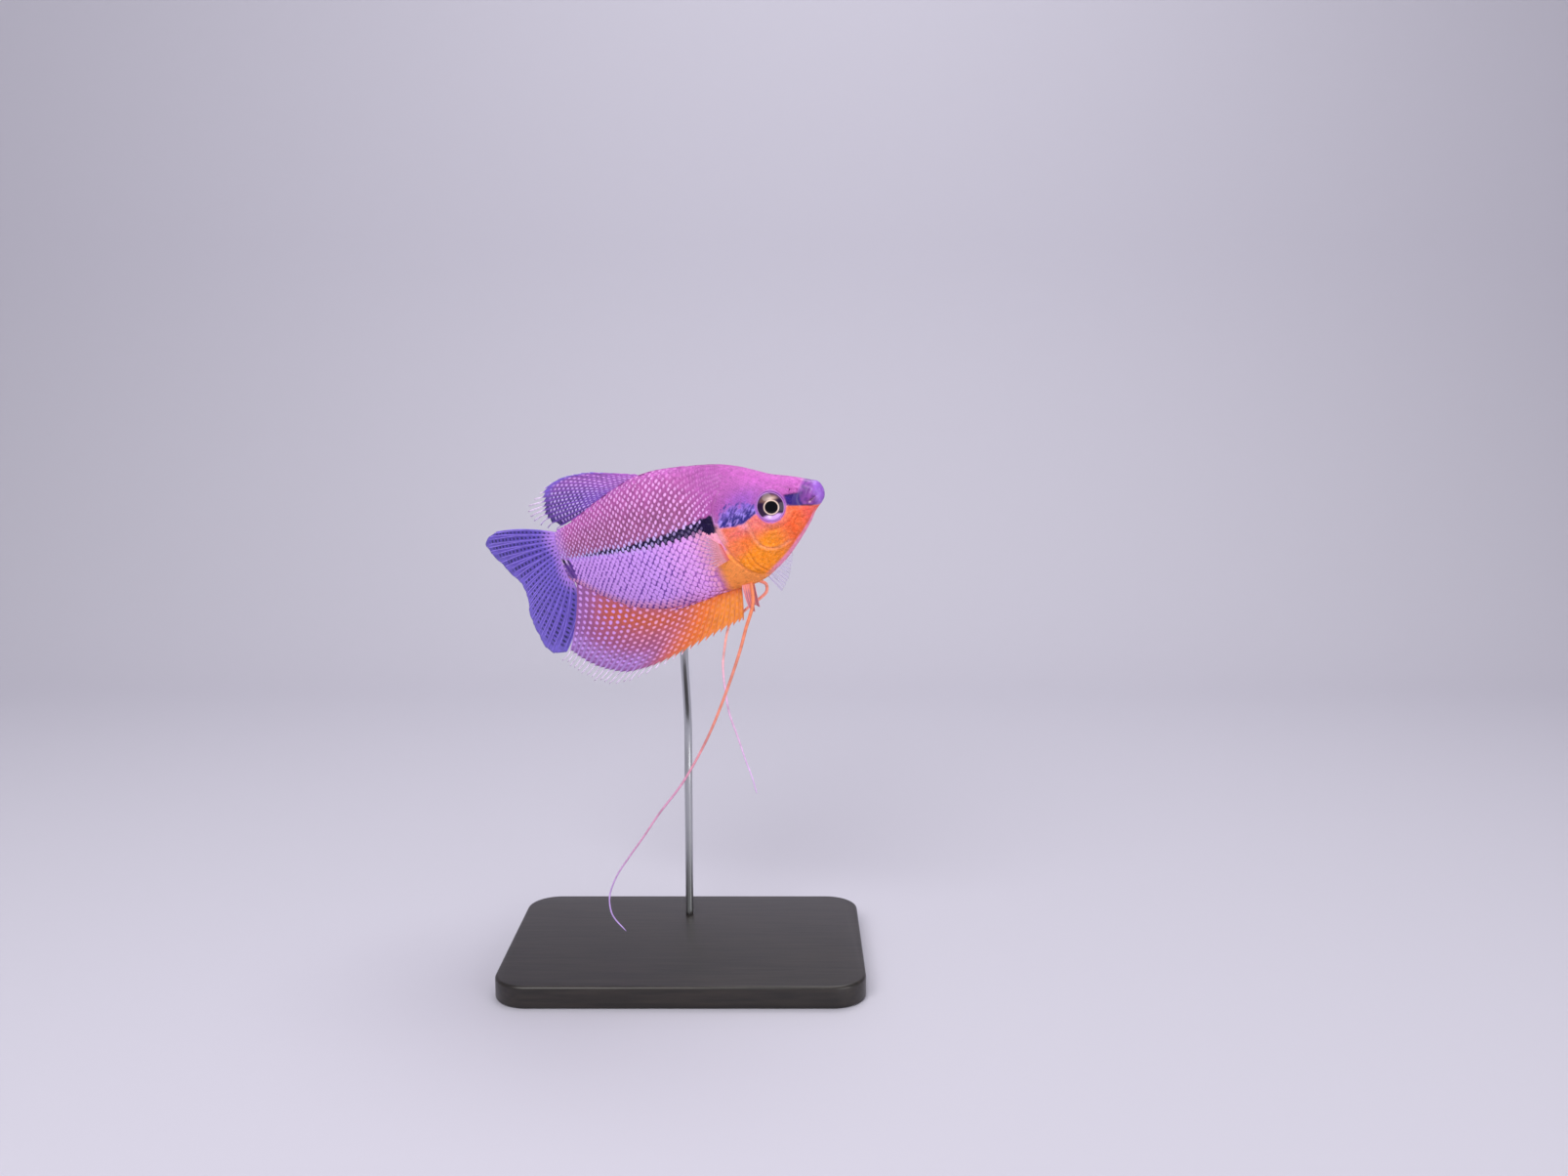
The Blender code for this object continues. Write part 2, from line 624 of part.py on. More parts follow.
def stand_rod(trunk):
    """A steel rod that rises behind the fish, bends in and stops just short of its belly."""
    height = skin_height(ROD_TOP_PLACE, ROD_TOP_SIDE, belly)
    top = posed((ROD_TOP_PLACE * LENGTH, -ROD_TOP_SIDE, height))
    along = ROD_LEAN.normalized()
    neck = top - along * ROD_BEND
    foot = Vector((top.x, ROD_FOOT_BACK, BASE_THICK + GAP))
    upright = [foot.lerp(Vector((foot.x, foot.y, neck.z)), k / 4) for k in range(4)]
    route = smooth_path(upright + [neck, top - along * 4.0], 22)
    skin = BVHTree.FromPolygons(
        [vertex.co for vertex in trunk.data.vertices],
        [tuple(face.vertices) for face in trunk.data.polygons],
    )
    bm = bmesh.new()
    rings = []
    for point, after in zip(route, route[1:] + [route[-1] + along]):
        way = (after - point).normalized() if rings else Vector((0, 0, 1))
        across = way.cross(Vector((1, 0, 0))).normalized()
        other = way.cross(across)
        turns = [math.tau * k / ROD_SIDES for k in range(ROD_SIDES)]
        rings.append([point + (across * math.cos(a) + other * math.sin(a)) * ROD_RADIUS
                      for a in turns])
    rings.append([skin.ray_cast(point, along)[0] - along * GAP * 1.6 for point in rings[-1]])
    rings = [[bm.verts.new(point) for point in ring] for ring in rings]
    for ring, following in zip(rings, rings[1:]):
        for k in range(ROD_SIDES):
            bm.faces.new((ring[k - 1], ring[k], following[k], following[k - 1]))
    bm.faces.new(rings[0])
    bmesh.ops.triangulate(bm, faces=[bm.faces.new(rings[-1])])
    return object_from("stand_rod", bm)


def material(name, colour, roughness, metallic=0.0):
    made = bpy.data.materials.new(name)
    made.use_nodes = True
    shader = made.node_tree.nodes["Principled BSDF"]
    shader.inputs["Base Color"].default_value = (*colour, 1.0)
    shader.inputs["Roughness"].default_value = roughness
    shader.inputs["Metallic"].default_value = metallic
    return made


FINISHES = {
    "head": ((0.62, 0.22, 0.20), 0.45, 0.0),
    "trunk": ((0.46, 0.26, 0.50), 0.45, 0.0),
    "tail_stalk": ((0.42, 0.24, 0.48), 0.45, 0.0),
    "dorsal_fin": ((0.34, 0.22, 0.60), 0.5, 0.0),
    "anal_fin": ((0.62, 0.25, 0.16), 0.5, 0.0),
    "tail_fin": ((0.25, 0.20, 0.58), 0.5, 0.0),
    "pectoral_fin": ((0.55, 0.50, 0.75), 0.4, 0.0),
    "pelvic_fin": ((0.80, 0.36, 0.18), 0.5, 0.0),
    "eye": ((0.03, 0.02, 0.05), 0.15, 0.0),
    "stand_base": ((0.03, 0.03, 0.03), 0.4, 0.0),
    "stand_rod": ((0.56, 0.57, 0.58), 0.3, 1.0),
}


def finish(obj):
    """Turns millimetres to metres and gives the part its own material."""
    obj.data.transform(Matrix.Scale(MM, 4))
    kind = next(kind for kind in FINISHES if obj.name.startswith(kind))
    obj.data.materials.clear()
    obj.data.materials.append(material(obj.name, *FINISHES[kind]))
    obj.data.shade_smooth()
    obj.data.set_sharp_from_angle(angle=math.radians(40))


for old in list(bpy.data.objects):
    bpy.data.objects.remove(old)
PARTS = bpy.data.collections.new("pearl_gourami")
CUTTERS = bpy.data.collections.new("cutters")
CUTTERS.hide_render = True
for group in (PARTS, CUTTERS):
    bpy.context.scene.collection.children.link(group)

swimmer = [
    head(),
    body_length("trunk", trunk_rows()),
    body_length("tail_stalk", tail_rows()),
    dorsal_fin(),
    anal_fin(),
    tail_fin(),
    pectoral_fin("pectoral_fin_right", 1, (0.86, 0.42, 0.32), (-0.30, 0.10, 1.0), 21.0),
    pectoral_fin("pectoral_fin_left", -1, (-0.42, -0.80, -0.42), (-0.30, -0.10, 0.90), 22.0),
    eye("eye_right", 1),
    eye("eye_left", -1),
]
for piece in swimmer:
    pose_mesh(piece)
feelers = [
    pelvic_fin("pelvic_fin_right", 1, NEAR_FEELER, 0.52),
    pelvic_fin("pelvic_fin_left", -1, FAR_FEELER, 0.50),
]
stand = [stand_base(), stand_rod(swimmer[1])]
for piece in swimmer + feelers + stand:
    finish(piece)
    print(piece.name, len(piece.data.polygons), "faces")
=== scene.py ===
# %% [markdown]
# # A pearl gourami for a museum shelf
#
# The solid model of the fish gives every part its place and size. This lesson gives it its
# looks: a soft skin under overlapping scales, pearls and a black stripe, fins of thin membrane
# over branching rays, a wet eye, and a plain stand. The fish is drawn straight, in
# millimetres, which is easy to think about, and one function then bends it into its pose.

# %% The frame and the tools
import math

import bpy
import numpy as np
from mathutils import Matrix, Vector, noise
from mathutils.bvhtree import BVHTree


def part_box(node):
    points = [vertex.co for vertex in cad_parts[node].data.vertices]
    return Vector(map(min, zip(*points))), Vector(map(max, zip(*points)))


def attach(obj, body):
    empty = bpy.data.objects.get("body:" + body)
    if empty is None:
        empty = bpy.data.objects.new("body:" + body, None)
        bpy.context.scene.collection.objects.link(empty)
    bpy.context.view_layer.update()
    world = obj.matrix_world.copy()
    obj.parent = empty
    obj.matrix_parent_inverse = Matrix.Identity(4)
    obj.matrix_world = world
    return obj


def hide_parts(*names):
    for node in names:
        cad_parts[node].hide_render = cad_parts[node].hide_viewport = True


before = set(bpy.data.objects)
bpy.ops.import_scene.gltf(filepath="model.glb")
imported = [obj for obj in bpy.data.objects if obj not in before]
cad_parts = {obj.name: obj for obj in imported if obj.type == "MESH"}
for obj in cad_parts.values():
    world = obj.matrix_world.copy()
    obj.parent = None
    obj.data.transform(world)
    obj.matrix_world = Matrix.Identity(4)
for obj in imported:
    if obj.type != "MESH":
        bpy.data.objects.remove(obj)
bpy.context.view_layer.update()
MM = 0.001

# %% [markdown]
# ## The camera
#
# The picture was taken from a little above the fish, with the camera tipped downwards. A lens
# is easiest to match by its focal length in pixels, because that needs no sensor size. The
# place of the camera then follows from where the snout lands in the picture.

# %% Camera
PHOTO_WIDTH = 1606
FOCAL_PIXELS = 1472.0
SENSOR = 36.0
CAMERA_AT = Vector((26.72, -378.84, 156.47)) * MM
CAMERA_DOWN = math.radians(8.0)

camera = bpy.data.cameras.new("camera")
camera.sensor_width = SENSOR
camera.lens = SENSOR * FOCAL_PIXELS / PHOTO_WIDTH
camera.clip_start, camera.clip_end = 0.01, 20.0
view = bpy.data.objects.new("camera", camera)
view.location = CAMERA_AT
view.rotation_euler = (math.pi / 2 - CAMERA_DOWN, 0, 0)
bpy.context.scene.collection.objects.link(view)
bpy.context.scene.camera = view
print("lens", round(camera.lens, 2), "mm")

# %% [markdown]
# ## Curves through a few points
#
# A fish's outline is a curve through a few measured heights. A plain spline would swing past
# them and make bumps, so this one keeps its slope between those of its neighbours. It takes
# whole arrays, because every later step asks it for thousands of places at once.

# %% Curves
def through(points):
    """A smooth curve through (place, value) points that never swings past them."""
    places, values = (np.array(column, float) for column in zip(*points))
    steps = np.diff(places)
    slopes = np.diff(values) / steps
    tangents = np.concatenate([slopes[:1], np.zeros(len(slopes) - 1), slopes[-1:]])
    for i in range(1, len(slopes)):
        if slopes[i - 1] * slopes[i] > 0:
            before, after = 2 * steps[i] + steps[i - 1], steps[i] + 2 * steps[i - 1]
            tangents[i] = (before + after) / (before / slopes[i - 1] + after / slopes[i])

    def value(at):
        at = np.clip(at, places[0], places[-1])
        i = np.clip(np.searchsorted(places, at, side="right") - 1, 0, len(steps) - 1)
        u = (at - places[i]) / steps[i]
        ends = values[i] * (1 + 2 * u) * (1 - u) ** 2 + values[i + 1] * (3 - 2 * u) * u * u
        bends = tangents[i] * u * (1 - u) ** 2 - tangents[i + 1] * u * u * (1 - u)
        return ends + bends * steps[i]

    return value


def ease(x, start, end):
    """0 before start, 1 after end, and a soft rise between. It falls if end is before start."""
    t = np.clip((x - start) / (end - start), 0.0, 1.0)
    return t * t * (3 - 2 * t)


def walked(paths):
    """How far along its path each point lies, for one path or rows of them."""
    steps = np.linalg.norm(np.diff(paths, axis=-2), axis=-1)
    return np.concatenate([np.zeros_like(steps[..., :1]), np.cumsum(steps, axis=-1)], axis=-1)


def smooth_path(points, count):
    """Evenly spaced points along a smooth curve through a route."""
    route = np.array(points, float)
    route = np.vstack([2 * route[0] - route[1], route, 2 * route[-1] - route[-2]])
    u = np.linspace(0, 1, 24, endpoint=False)[:, None]
    dense = [0.5 * (2 * b + (c - a) * u + (2 * a - 5 * b + 4 * c - d) * u * u
                    + (3 * b - a - 3 * c + d) * u ** 3)
             for a, b, c, d in zip(route, route[1:], route[2:], route[3:])]
    dense = np.vstack(dense + [route[-2:-1]])
    lengths = walked(dense)
    marks = np.linspace(0, lengths[-1], count)
    return np.stack([np.interp(marks, lengths, column) for column in dense.T], axis=1)


# %% [markdown]
# ## The straight fish and its pose
#
# In the straight fish a point is (s, r, z): s runs back from the snout, r to the fish's own
# right and z up. The outlines are fractions of the length from snout to tail, so the whole
# fish can be made longer with one number. The pose turns each slice about a bent spine.

# %% Outline
LENGTH = 80.0
SIDES = ((1, "right"), (-1, "left"))
back = through((
    (0.0, 0.012), (0.012, 0.033), (0.03, 0.0475), (0.057, 0.062), (0.10, 0.081), (0.15, 0.100),
    (0.20, 0.127), (0.25, 0.154), (0.30, 0.174), (0.35, 0.186), (0.45, 0.202), (0.53, 0.209),
    (0.59, 0.208), (0.67, 0.191), (0.77, 0.160), (0.85, 0.131), (0.93, 0.105), (1.0, 0.088),
))
belly = through((
    (0.0, -0.012), (0.015, -0.024), (0.045, -0.050), (0.066, -0.075), (0.115, -0.122),
    (0.16, -0.160), (0.21, -0.193), (0.26, -0.219), (0.31, -0.231), (0.40, -0.235),
    (0.50, -0.243), (0.61, -0.248), (0.73, -0.229), (0.86, -0.172), (0.95, -0.116), (1.0, -0.088),
))
half_width = through((
    (0.0, 0.014), (0.03, 0.029), (0.08, 0.044), (0.16, 0.062), (0.25, 0.076), (0.35, 0.083),
    (0.45, 0.081), (0.60, 0.068), (0.80, 0.041), (0.93, 0.022), (1.0, 0.015),
))
keen = through(((0.0, 1.0), (0.2, 1.0), (0.4, 1.15), (0.8, 1.25), (1.0, 1.1)))
fullest = through(((0.0, 1.0), (0.1, 1.05), (0.35, 0.95), (0.6, 0.85), (1.0, 1.0)))
gill_edge = through((
    (0.0, 0.245), (0.1, 0.283), (0.25, 0.320), (0.4, 0.343), (0.55, 0.352), (0.66, 0.345),
    (0.8, 0.318), (1.0, 0.290),
))

print("the fish is", round(LENGTH * 1.4), "mm over all")

# %% Pose
SNOUT_AT = np.array((37.0, -17.0, 130.0))
HEADING, NOSE_UP, LEAN = math.radians(25.0), math.radians(14.0), math.radians(10.0)
TURN = ((0.0, 12.0), (0.3, 16.0), (0.6, 24.0), (1.0, 38.0), (1.45, 50.0))
SLICE = 0.5
stations = np.arange(-10.0, 130.0, SLICE)
turns = np.radians(through(TURN)(stations / LENGTH))
tracks = np.cumsum([-np.cos(turns), np.sin(turns)], axis=1) * SLICE
track_x, track_y = (track - np.interp(0, stations, track) for track in tracks)
ATTITUDE = np.array(
    Matrix.Rotation(-HEADING, 3, "Z") @ Matrix.Rotation(-NOSE_UP, 3, "Y")
    @ Matrix.Rotation(LEAN, 3, "X") @ Matrix.Rotation(HEADING, 3, "Z")
)


def posed(points):
    """Points (s, r, z) of the straight fish, in their place over the stand, in mm."""
    s, r, z = np.moveaxis(np.asarray(points, float), -1, 0)
    turn = np.interp(s, stations, turns)
    x = np.interp(s, stations, track_x) - r * np.sin(turn)
    y = np.interp(s, stations, track_y) - r * np.cos(turn)
    return SNOUT_AT + np.stack([x, y, z], axis=-1) @ ATTITUDE.T


def flank(place, angle):
    """Points of the body: angle 0 is the right side, a quarter turn is the back."""
    place, angle = np.broadcast_arrays(place, angle)
    top, low = back(place) * LENGTH, belly(place) * LENGTH
    lift = ((1 + np.sin(angle)) / 2) ** fullest(place)
    side = np.cos(angle)
    out = np.abs(side) ** keen(place) * (half_width(place) * LENGTH)
    return np.stack([place * LENGTH, np.copysign(out, side), low + (top - low) * lift], axis=-1)


def side_at(place, z):
    """How far the body stands out from the middle at a height z."""
    top, low = back(place) * LENGTH, belly(place) * LENGTH
    lift = np.clip((z - low) / (top - low), 0.0, 1.0) ** (1 / fullest(place))
    round_share = np.sqrt(np.maximum(0, 1 - (2 * lift - 1) ** 2))
    return round_share ** keen(place) * half_width(place) * LENGTH


def shares(points):
    """How far back and how high points are, in lengths of the fish."""
    return points[:, 0] / LENGTH, points[:, 2] / LENGTH


print("the tail turns away by", round(float(np.degrees(turns[-1]))), "degrees")

# %% [markdown]
# ## Meshes and attributes
#
# Every piece is built in the straight fish first and moved by the pose function last. Colours
# and pattern coordinates are kept on its points as attributes, which a material reads by
# name. They bend with the fish, which a pattern fixed in space would not.

# %% Mesh helpers
KINDS = {"FLOAT": (1, "value"), "FLOAT_VECTOR": (3, "vector"), "FLOAT_COLOR": (4, "color")}


def mesh_object(name, points, faces):
    mesh = bpy.data.meshes.new(name)
    mesh.from_pydata(np.asarray(points).tolist(), [], faces)
    mesh.update()
    obj = bpy.data.objects.new(name, mesh)
    bpy.context.scene.collection.objects.link(obj)
    return obj


def write(mesh, name, values):
    """Keeps one number, vector or colour per point under a name."""
    values = np.asarray(values, np.float32)
    width = 1 if values.ndim == 1 else values.shape[1]
    kind = next(kind for kind in KINDS if KINDS[kind][0] == width)
    layer = mesh.attributes.get(name) or mesh.attributes.new(name, kind, "POINT")
    layer.data.foreach_set(KINDS[kind][1], values.ravel())


def read(mesh, name):
    layer = mesh.attributes[name]
    width, key = KINDS[layer.data_type]
    values = np.zeros(len(layer.data) * width, np.float32)
    layer.data.foreach_get(key, values)
    return values if width == 1 else values.reshape(-1, width)


def bake_map(obj, values):
    """The UV map that the export bakes to, from a value for each point or each face corner."""
    corners = np.zeros(len(obj.data.loops), np.int32)
    obj.data.loops.foreach_get("vertex_index", corners)
    values = values if len(values) == len(corners) else values[corners]
    layer = obj.data.uv_layers.new(name="OFBake")
    layer.data.foreach_set("uv", values.astype(np.float32).ravel())


def points_of(mesh):
    values = np.zeros(len(mesh.vertices) * 3, np.float32)
    mesh.vertices.foreach_get("co", values)
    return values.reshape(-1, 3).astype(float)


def plain_mesh(obj):
    """The object with its modifiers worked into a plain mesh."""
    graph = bpy.context.evaluated_depsgraph_get()
    mesh = bpy.data.meshes.new_from_object(obj.evaluated_get(graph))
    obj.modifiers.clear()
    obj.data = mesh
    mesh.name = obj.name
    return obj


def put(obj, *nodes, slot=None, bend=True):
    """Moves a finished piece into its place in metres, and hands it to the frame."""
    points = points_of(obj.data)
    points = posed(points) if bend else points
    obj.data.vertices.foreach_set("co", (points * MM).astype(np.float32).ravel())
    obj.data.shade_smooth()
    obj.data.update()
    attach(obj, "root")
    if nodes:
        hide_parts(*nodes)
    print(obj.name, len(obj.data.polygons), "faces")
    return obj


print("kinds of attribute", *KINDS)

# %% [markdown]
# ## Colours and nodes
#
# Colours are written as sRGB hex values, as a paint card gives them, and turned to the linear
# numbers that a renderer mixes. One small function adds a shader or geometry node with its
# settings and links, so that a whole material reads as a short list.

# %% Colour and node helpers
def linear(code):
    """An sRGB hex colour as linear red, green, blue and 1."""
    parts = [int(code[i : i + 2], 16) / 255 for i in (0, 2, 4)]
    return (*(c / 12.92 if c <= 0.04045 else ((c + 0.055) / 1.055) ** 2.4 for c in parts), 1.0)


def violet(code):
    """A colour of the animal, with a tenth less green, as under the photo's violet lamps."""
    red, green, blue, full = linear(code)
    return np.array((red, 0.9 * green, blue, full))


def spread(code, like):
    """One hex colour spread over an array of colours as large as another array."""
    return np.broadcast_to(violet(code), (*like.shape, 4))


def over(colours, *layers):
    """Lays hex colours over an array of colours, one after the other, where their masks say."""
    for code, mask in layers:
        mask = np.clip(mask, 0.0, 1.0)[..., None]
        colours = colours * (1 - mask) + violet(code) * mask
    return colours


def add(tree, kind, inputs=None, **settings):
    """A node with its settings. An input takes a value, a node or one of a node's outputs."""
    node = tree.nodes.new(kind)
    for name, value in settings.items():
        setattr(node, name, value)
    for key, value in (inputs or {}).items():
        socket = node.inputs[key] if isinstance(key, int) else next(
            s for s in node.inputs if s.enabled and s.name == key)
        if isinstance(value, bpy.types.Node):
            value = next(s for s in value.outputs if s.enabled)
        if isinstance(value, bpy.types.NodeSocket):
            tree.links.new(value, socket)
        else:
            socket.default_value = value
    return node


def maths(tree, operation, *values):
    return add(tree, "ShaderNodeMath", dict(enumerate(values)), operation=operation)


def ranged(tree, value, start, end, low=0.0, high=1.0, soft=False):
    """A value carried from one range to another and kept inside it, straight or softly."""
    return add(tree, "ShaderNodeMapRange",
               {"Value": value, "From Min": start, "From Max": end, "To Min": low, "To Max": high},
               interpolation_type="SMOOTHSTEP" if soft else "LINEAR")


def mixed(tree, share, under, upper, kind="MIX"):
    return add(tree, "ShaderNodeMix", {"Factor": share, "A": under, "B": upper},
               data_type="RGBA", blend_type=kind)


def stored(tree, name, output="Color"):
    """What the pieces keep on their points under a name."""
    return add(tree, "ShaderNodeAttribute", attribute_name=name).outputs[output]


def material(name):
    made = bpy.data.materials.new(name)
    made.use_nodes = True
    made.node_tree.nodes.clear()
    return made, made.node_tree


def surface(tree, colour, roughness, **more):
    """The one Principled shader of a material, wired to its output."""
    inputs = {"Base Color": colour, "Roughness": roughness}
    inputs.update((key.replace("_", " "), value) for key, value in more.items())
    add(tree, "ShaderNodeOutputMaterial",
        {"Surface": add(tree, "ShaderNodeBsdfPrincipled", inputs)})


print("pink is", np.round(linear("FFB6C1")[:3], 2), "in linear numbers")

# %% [markdown]
# ## Pearls
#
# The fish is named for its pearls: pale oval spots, one on each scale and in rows on the fins.
# A spot is a distance to a centre, squashed into an oval and cut off softly. On the fins the
# centres sit on a lattice whose every other row is shifted by half a step, like bricks. It is
# a node group with named inputs, because the materials of all the fins use it.

# %% The pearl lattice
def node_group(name, kind, inputs, output, output_kind):
    """An empty node group with named inputs, and what its inputs give."""
    tree = bpy.data.node_groups.new(name, kind)
    for key, socket_kind, value in inputs:
        socket = tree.interface.new_socket(key, in_out="INPUT",
                                           socket_type="NodeSocket" + socket_kind)
        if value is not None:
            socket.default_value = value
    tree.interface.new_socket(output, in_out="OUTPUT", socket_type="NodeSocket" + output_kind)
    return tree, tree.nodes.new("NodeGroupInput").outputs


def pearl_lattice():
    """Ovals on a shifted lattice: coordinates in steps of the lattice, half sizes in steps."""
    sockets = [(name, "Float", value) for name, value in (
        ("Across", 0.0), ("Along", 0.0), ("Half Across", 0.3), ("Half Along", 0.3),
        ("Softness", 0.25))]
    group, given = node_group("pearl_lattice", "ShaderNodeTree", sockets, "Mask", "Float")
    column = maths(group, "ROUND", given["Across"])
    shifted = maths(group, "ADD", given["Along"], maths(group, "MULTIPLY", column, 0.5))
    row = maths(group, "ROUND", shifted)
    squares = []
    for value, centre, half in ((given["Across"], column, given["Half Across"]),
                                (shifted, row, given["Half Along"])):
        away = maths(group, "SUBTRACT", value, centre)
        squares.append(maths(group, "POWER", maths(group, "DIVIDE", away, half), 2.0))
    distance = maths(group, "SQRT", maths(group, "ADD", *squares))
    inner, outer = (maths(group, kind, 1.0, given["Softness"]) for kind in ("SUBTRACT", "ADD"))
    mask = ranged(group, distance, inner, outer, 1.0, 0.0, soft=True)
    add(group, "NodeGroupOutput", {"Mask": mask})
    return group


PEARL_LATTICE = pearl_lattice()
print("lattice inputs", [item.name for item in PEARL_LATTICE.interface.items_tree][1:])

# %% [markdown]
# ## The paint of the body
#
# The colours run in zones that follow the fish: pink over the back, a black stripe from the
# gill to the tail, lilac below it, orange on the cheek and breast, lavender lips. Each zone
# is a soft mask of how far back and how high a point is. The skin and the scales ask the same
# function, so a marking passes from one to the other without a step.

# %% Zones of colour
STRIPE_HEIGHT = through(((0.34, 0.004), (0.40, 0.002), (0.47, -0.006), (0.56, -0.010), (0.65, -0.011),
                         (0.75, -0.009), (1.0, -0.006)))
STRIPE_HALF = through(((0.345, 0.015), (0.36, 0.028), (0.385, 0.027), (0.41, 0.023), (0.46, 0.021),
                       (0.52, 0.019), (0.60, 0.014), (0.68, 0.010), (0.78, 0.0065), (0.90, 0.0)))
EYE_PLACE, EYE_HEIGHT = 0.166, 0.009
COVER_BONE = ((0.249, -0.020), (0.244, -0.058), (0.240, -0.082), (0.229, -0.104),
              (0.208, -0.120), (0.179, -0.1245), (0.143, -0.114))


def flat_distance(s, z, route):
    """Distance in mm, seen from the side, to a route given in fractions of the length."""
    path = smooth_path([(a * LENGTH, 0.0, b * LENGTH) for a, b in route], 40)
    return np.sqrt(((s[:, None] - path[:, 0]) ** 2 + (z[:, None] - path[:, 2]) ** 2).min(axis=1))


def hill(x, middle, width):
    """1 at the middle, and falling off softly to both sides over a width."""
    return np.exp(-(((x - middle) / width) ** 2))


def spot(s, z, at_s, at_z, wide, tall):
    """A soft oval mark seen from the side, in mm."""
    return hill(s, at_s, wide) * hill(z, at_z, tall)


def rough(points, size, seed):
    """Smooth random values from -1 to 1 that change over a size in mm."""
    shift = Vector((seed * 7.3, seed * 3.1, seed * 5.7))
    return np.array([noise.noise(Vector(p) / size + shift) for p in points])


print("the stripe is", round(float(2 * STRIPE_HALF(0.36) * LENGTH), 1), "mm high at its front")

# %% Paint of the body
def body_paint(points):
    """The zones of back, flank and breast, and a painted highlight on the ridge of the back."""
    place, height = shares(points)
    crown, keel = height / back(place), height - belly(place)
    below = ease(STRIPE_HEIGHT(place) - height, -0.004, 0.006)
    rim = ease(keel, 0.045, 0.008)
    breast = ease(place, 0.425, 0.37) * ease(height + 0.35 * (place - 0.30), -0.060, -0.10)
    return over(
        spread("A05C8C", place),
        ("BE68AE", ease(crown, 0.30, 0.85)),
        # Painted highlight: the ridge of the back is lighter, where light from above falls on it.
        ("D078CC", ease(crown, 0.82, 1.0) * 0.7),
        ("B45FAC", ease(place, 0.46, 0.34) * ease(height, -0.02, 0.03)),
        ("CC6CC2", ease(place, 0.34, 0.20) * ease(crown, 0.2, 0.9)),
        ("B488E4", ease(place, 0.93, 1.0) * 0.8),
        ("B886E8", below),
        ("DA9CEC", below * ease(place, 0.62, 0.42)),
        ("F2A6CC", below * ease(place, 0.46, 0.37)),
        ("C07C9C", rim * ease(place, 0.40, 0.60)),
        ("EE8A4E", rim * ease(place, 0.62, 0.45)),
        ("FFA04C", breast),
    )


print("belly", np.round(body_paint(np.array([(50.0, 3.0, -16.0)]))[0], 2))

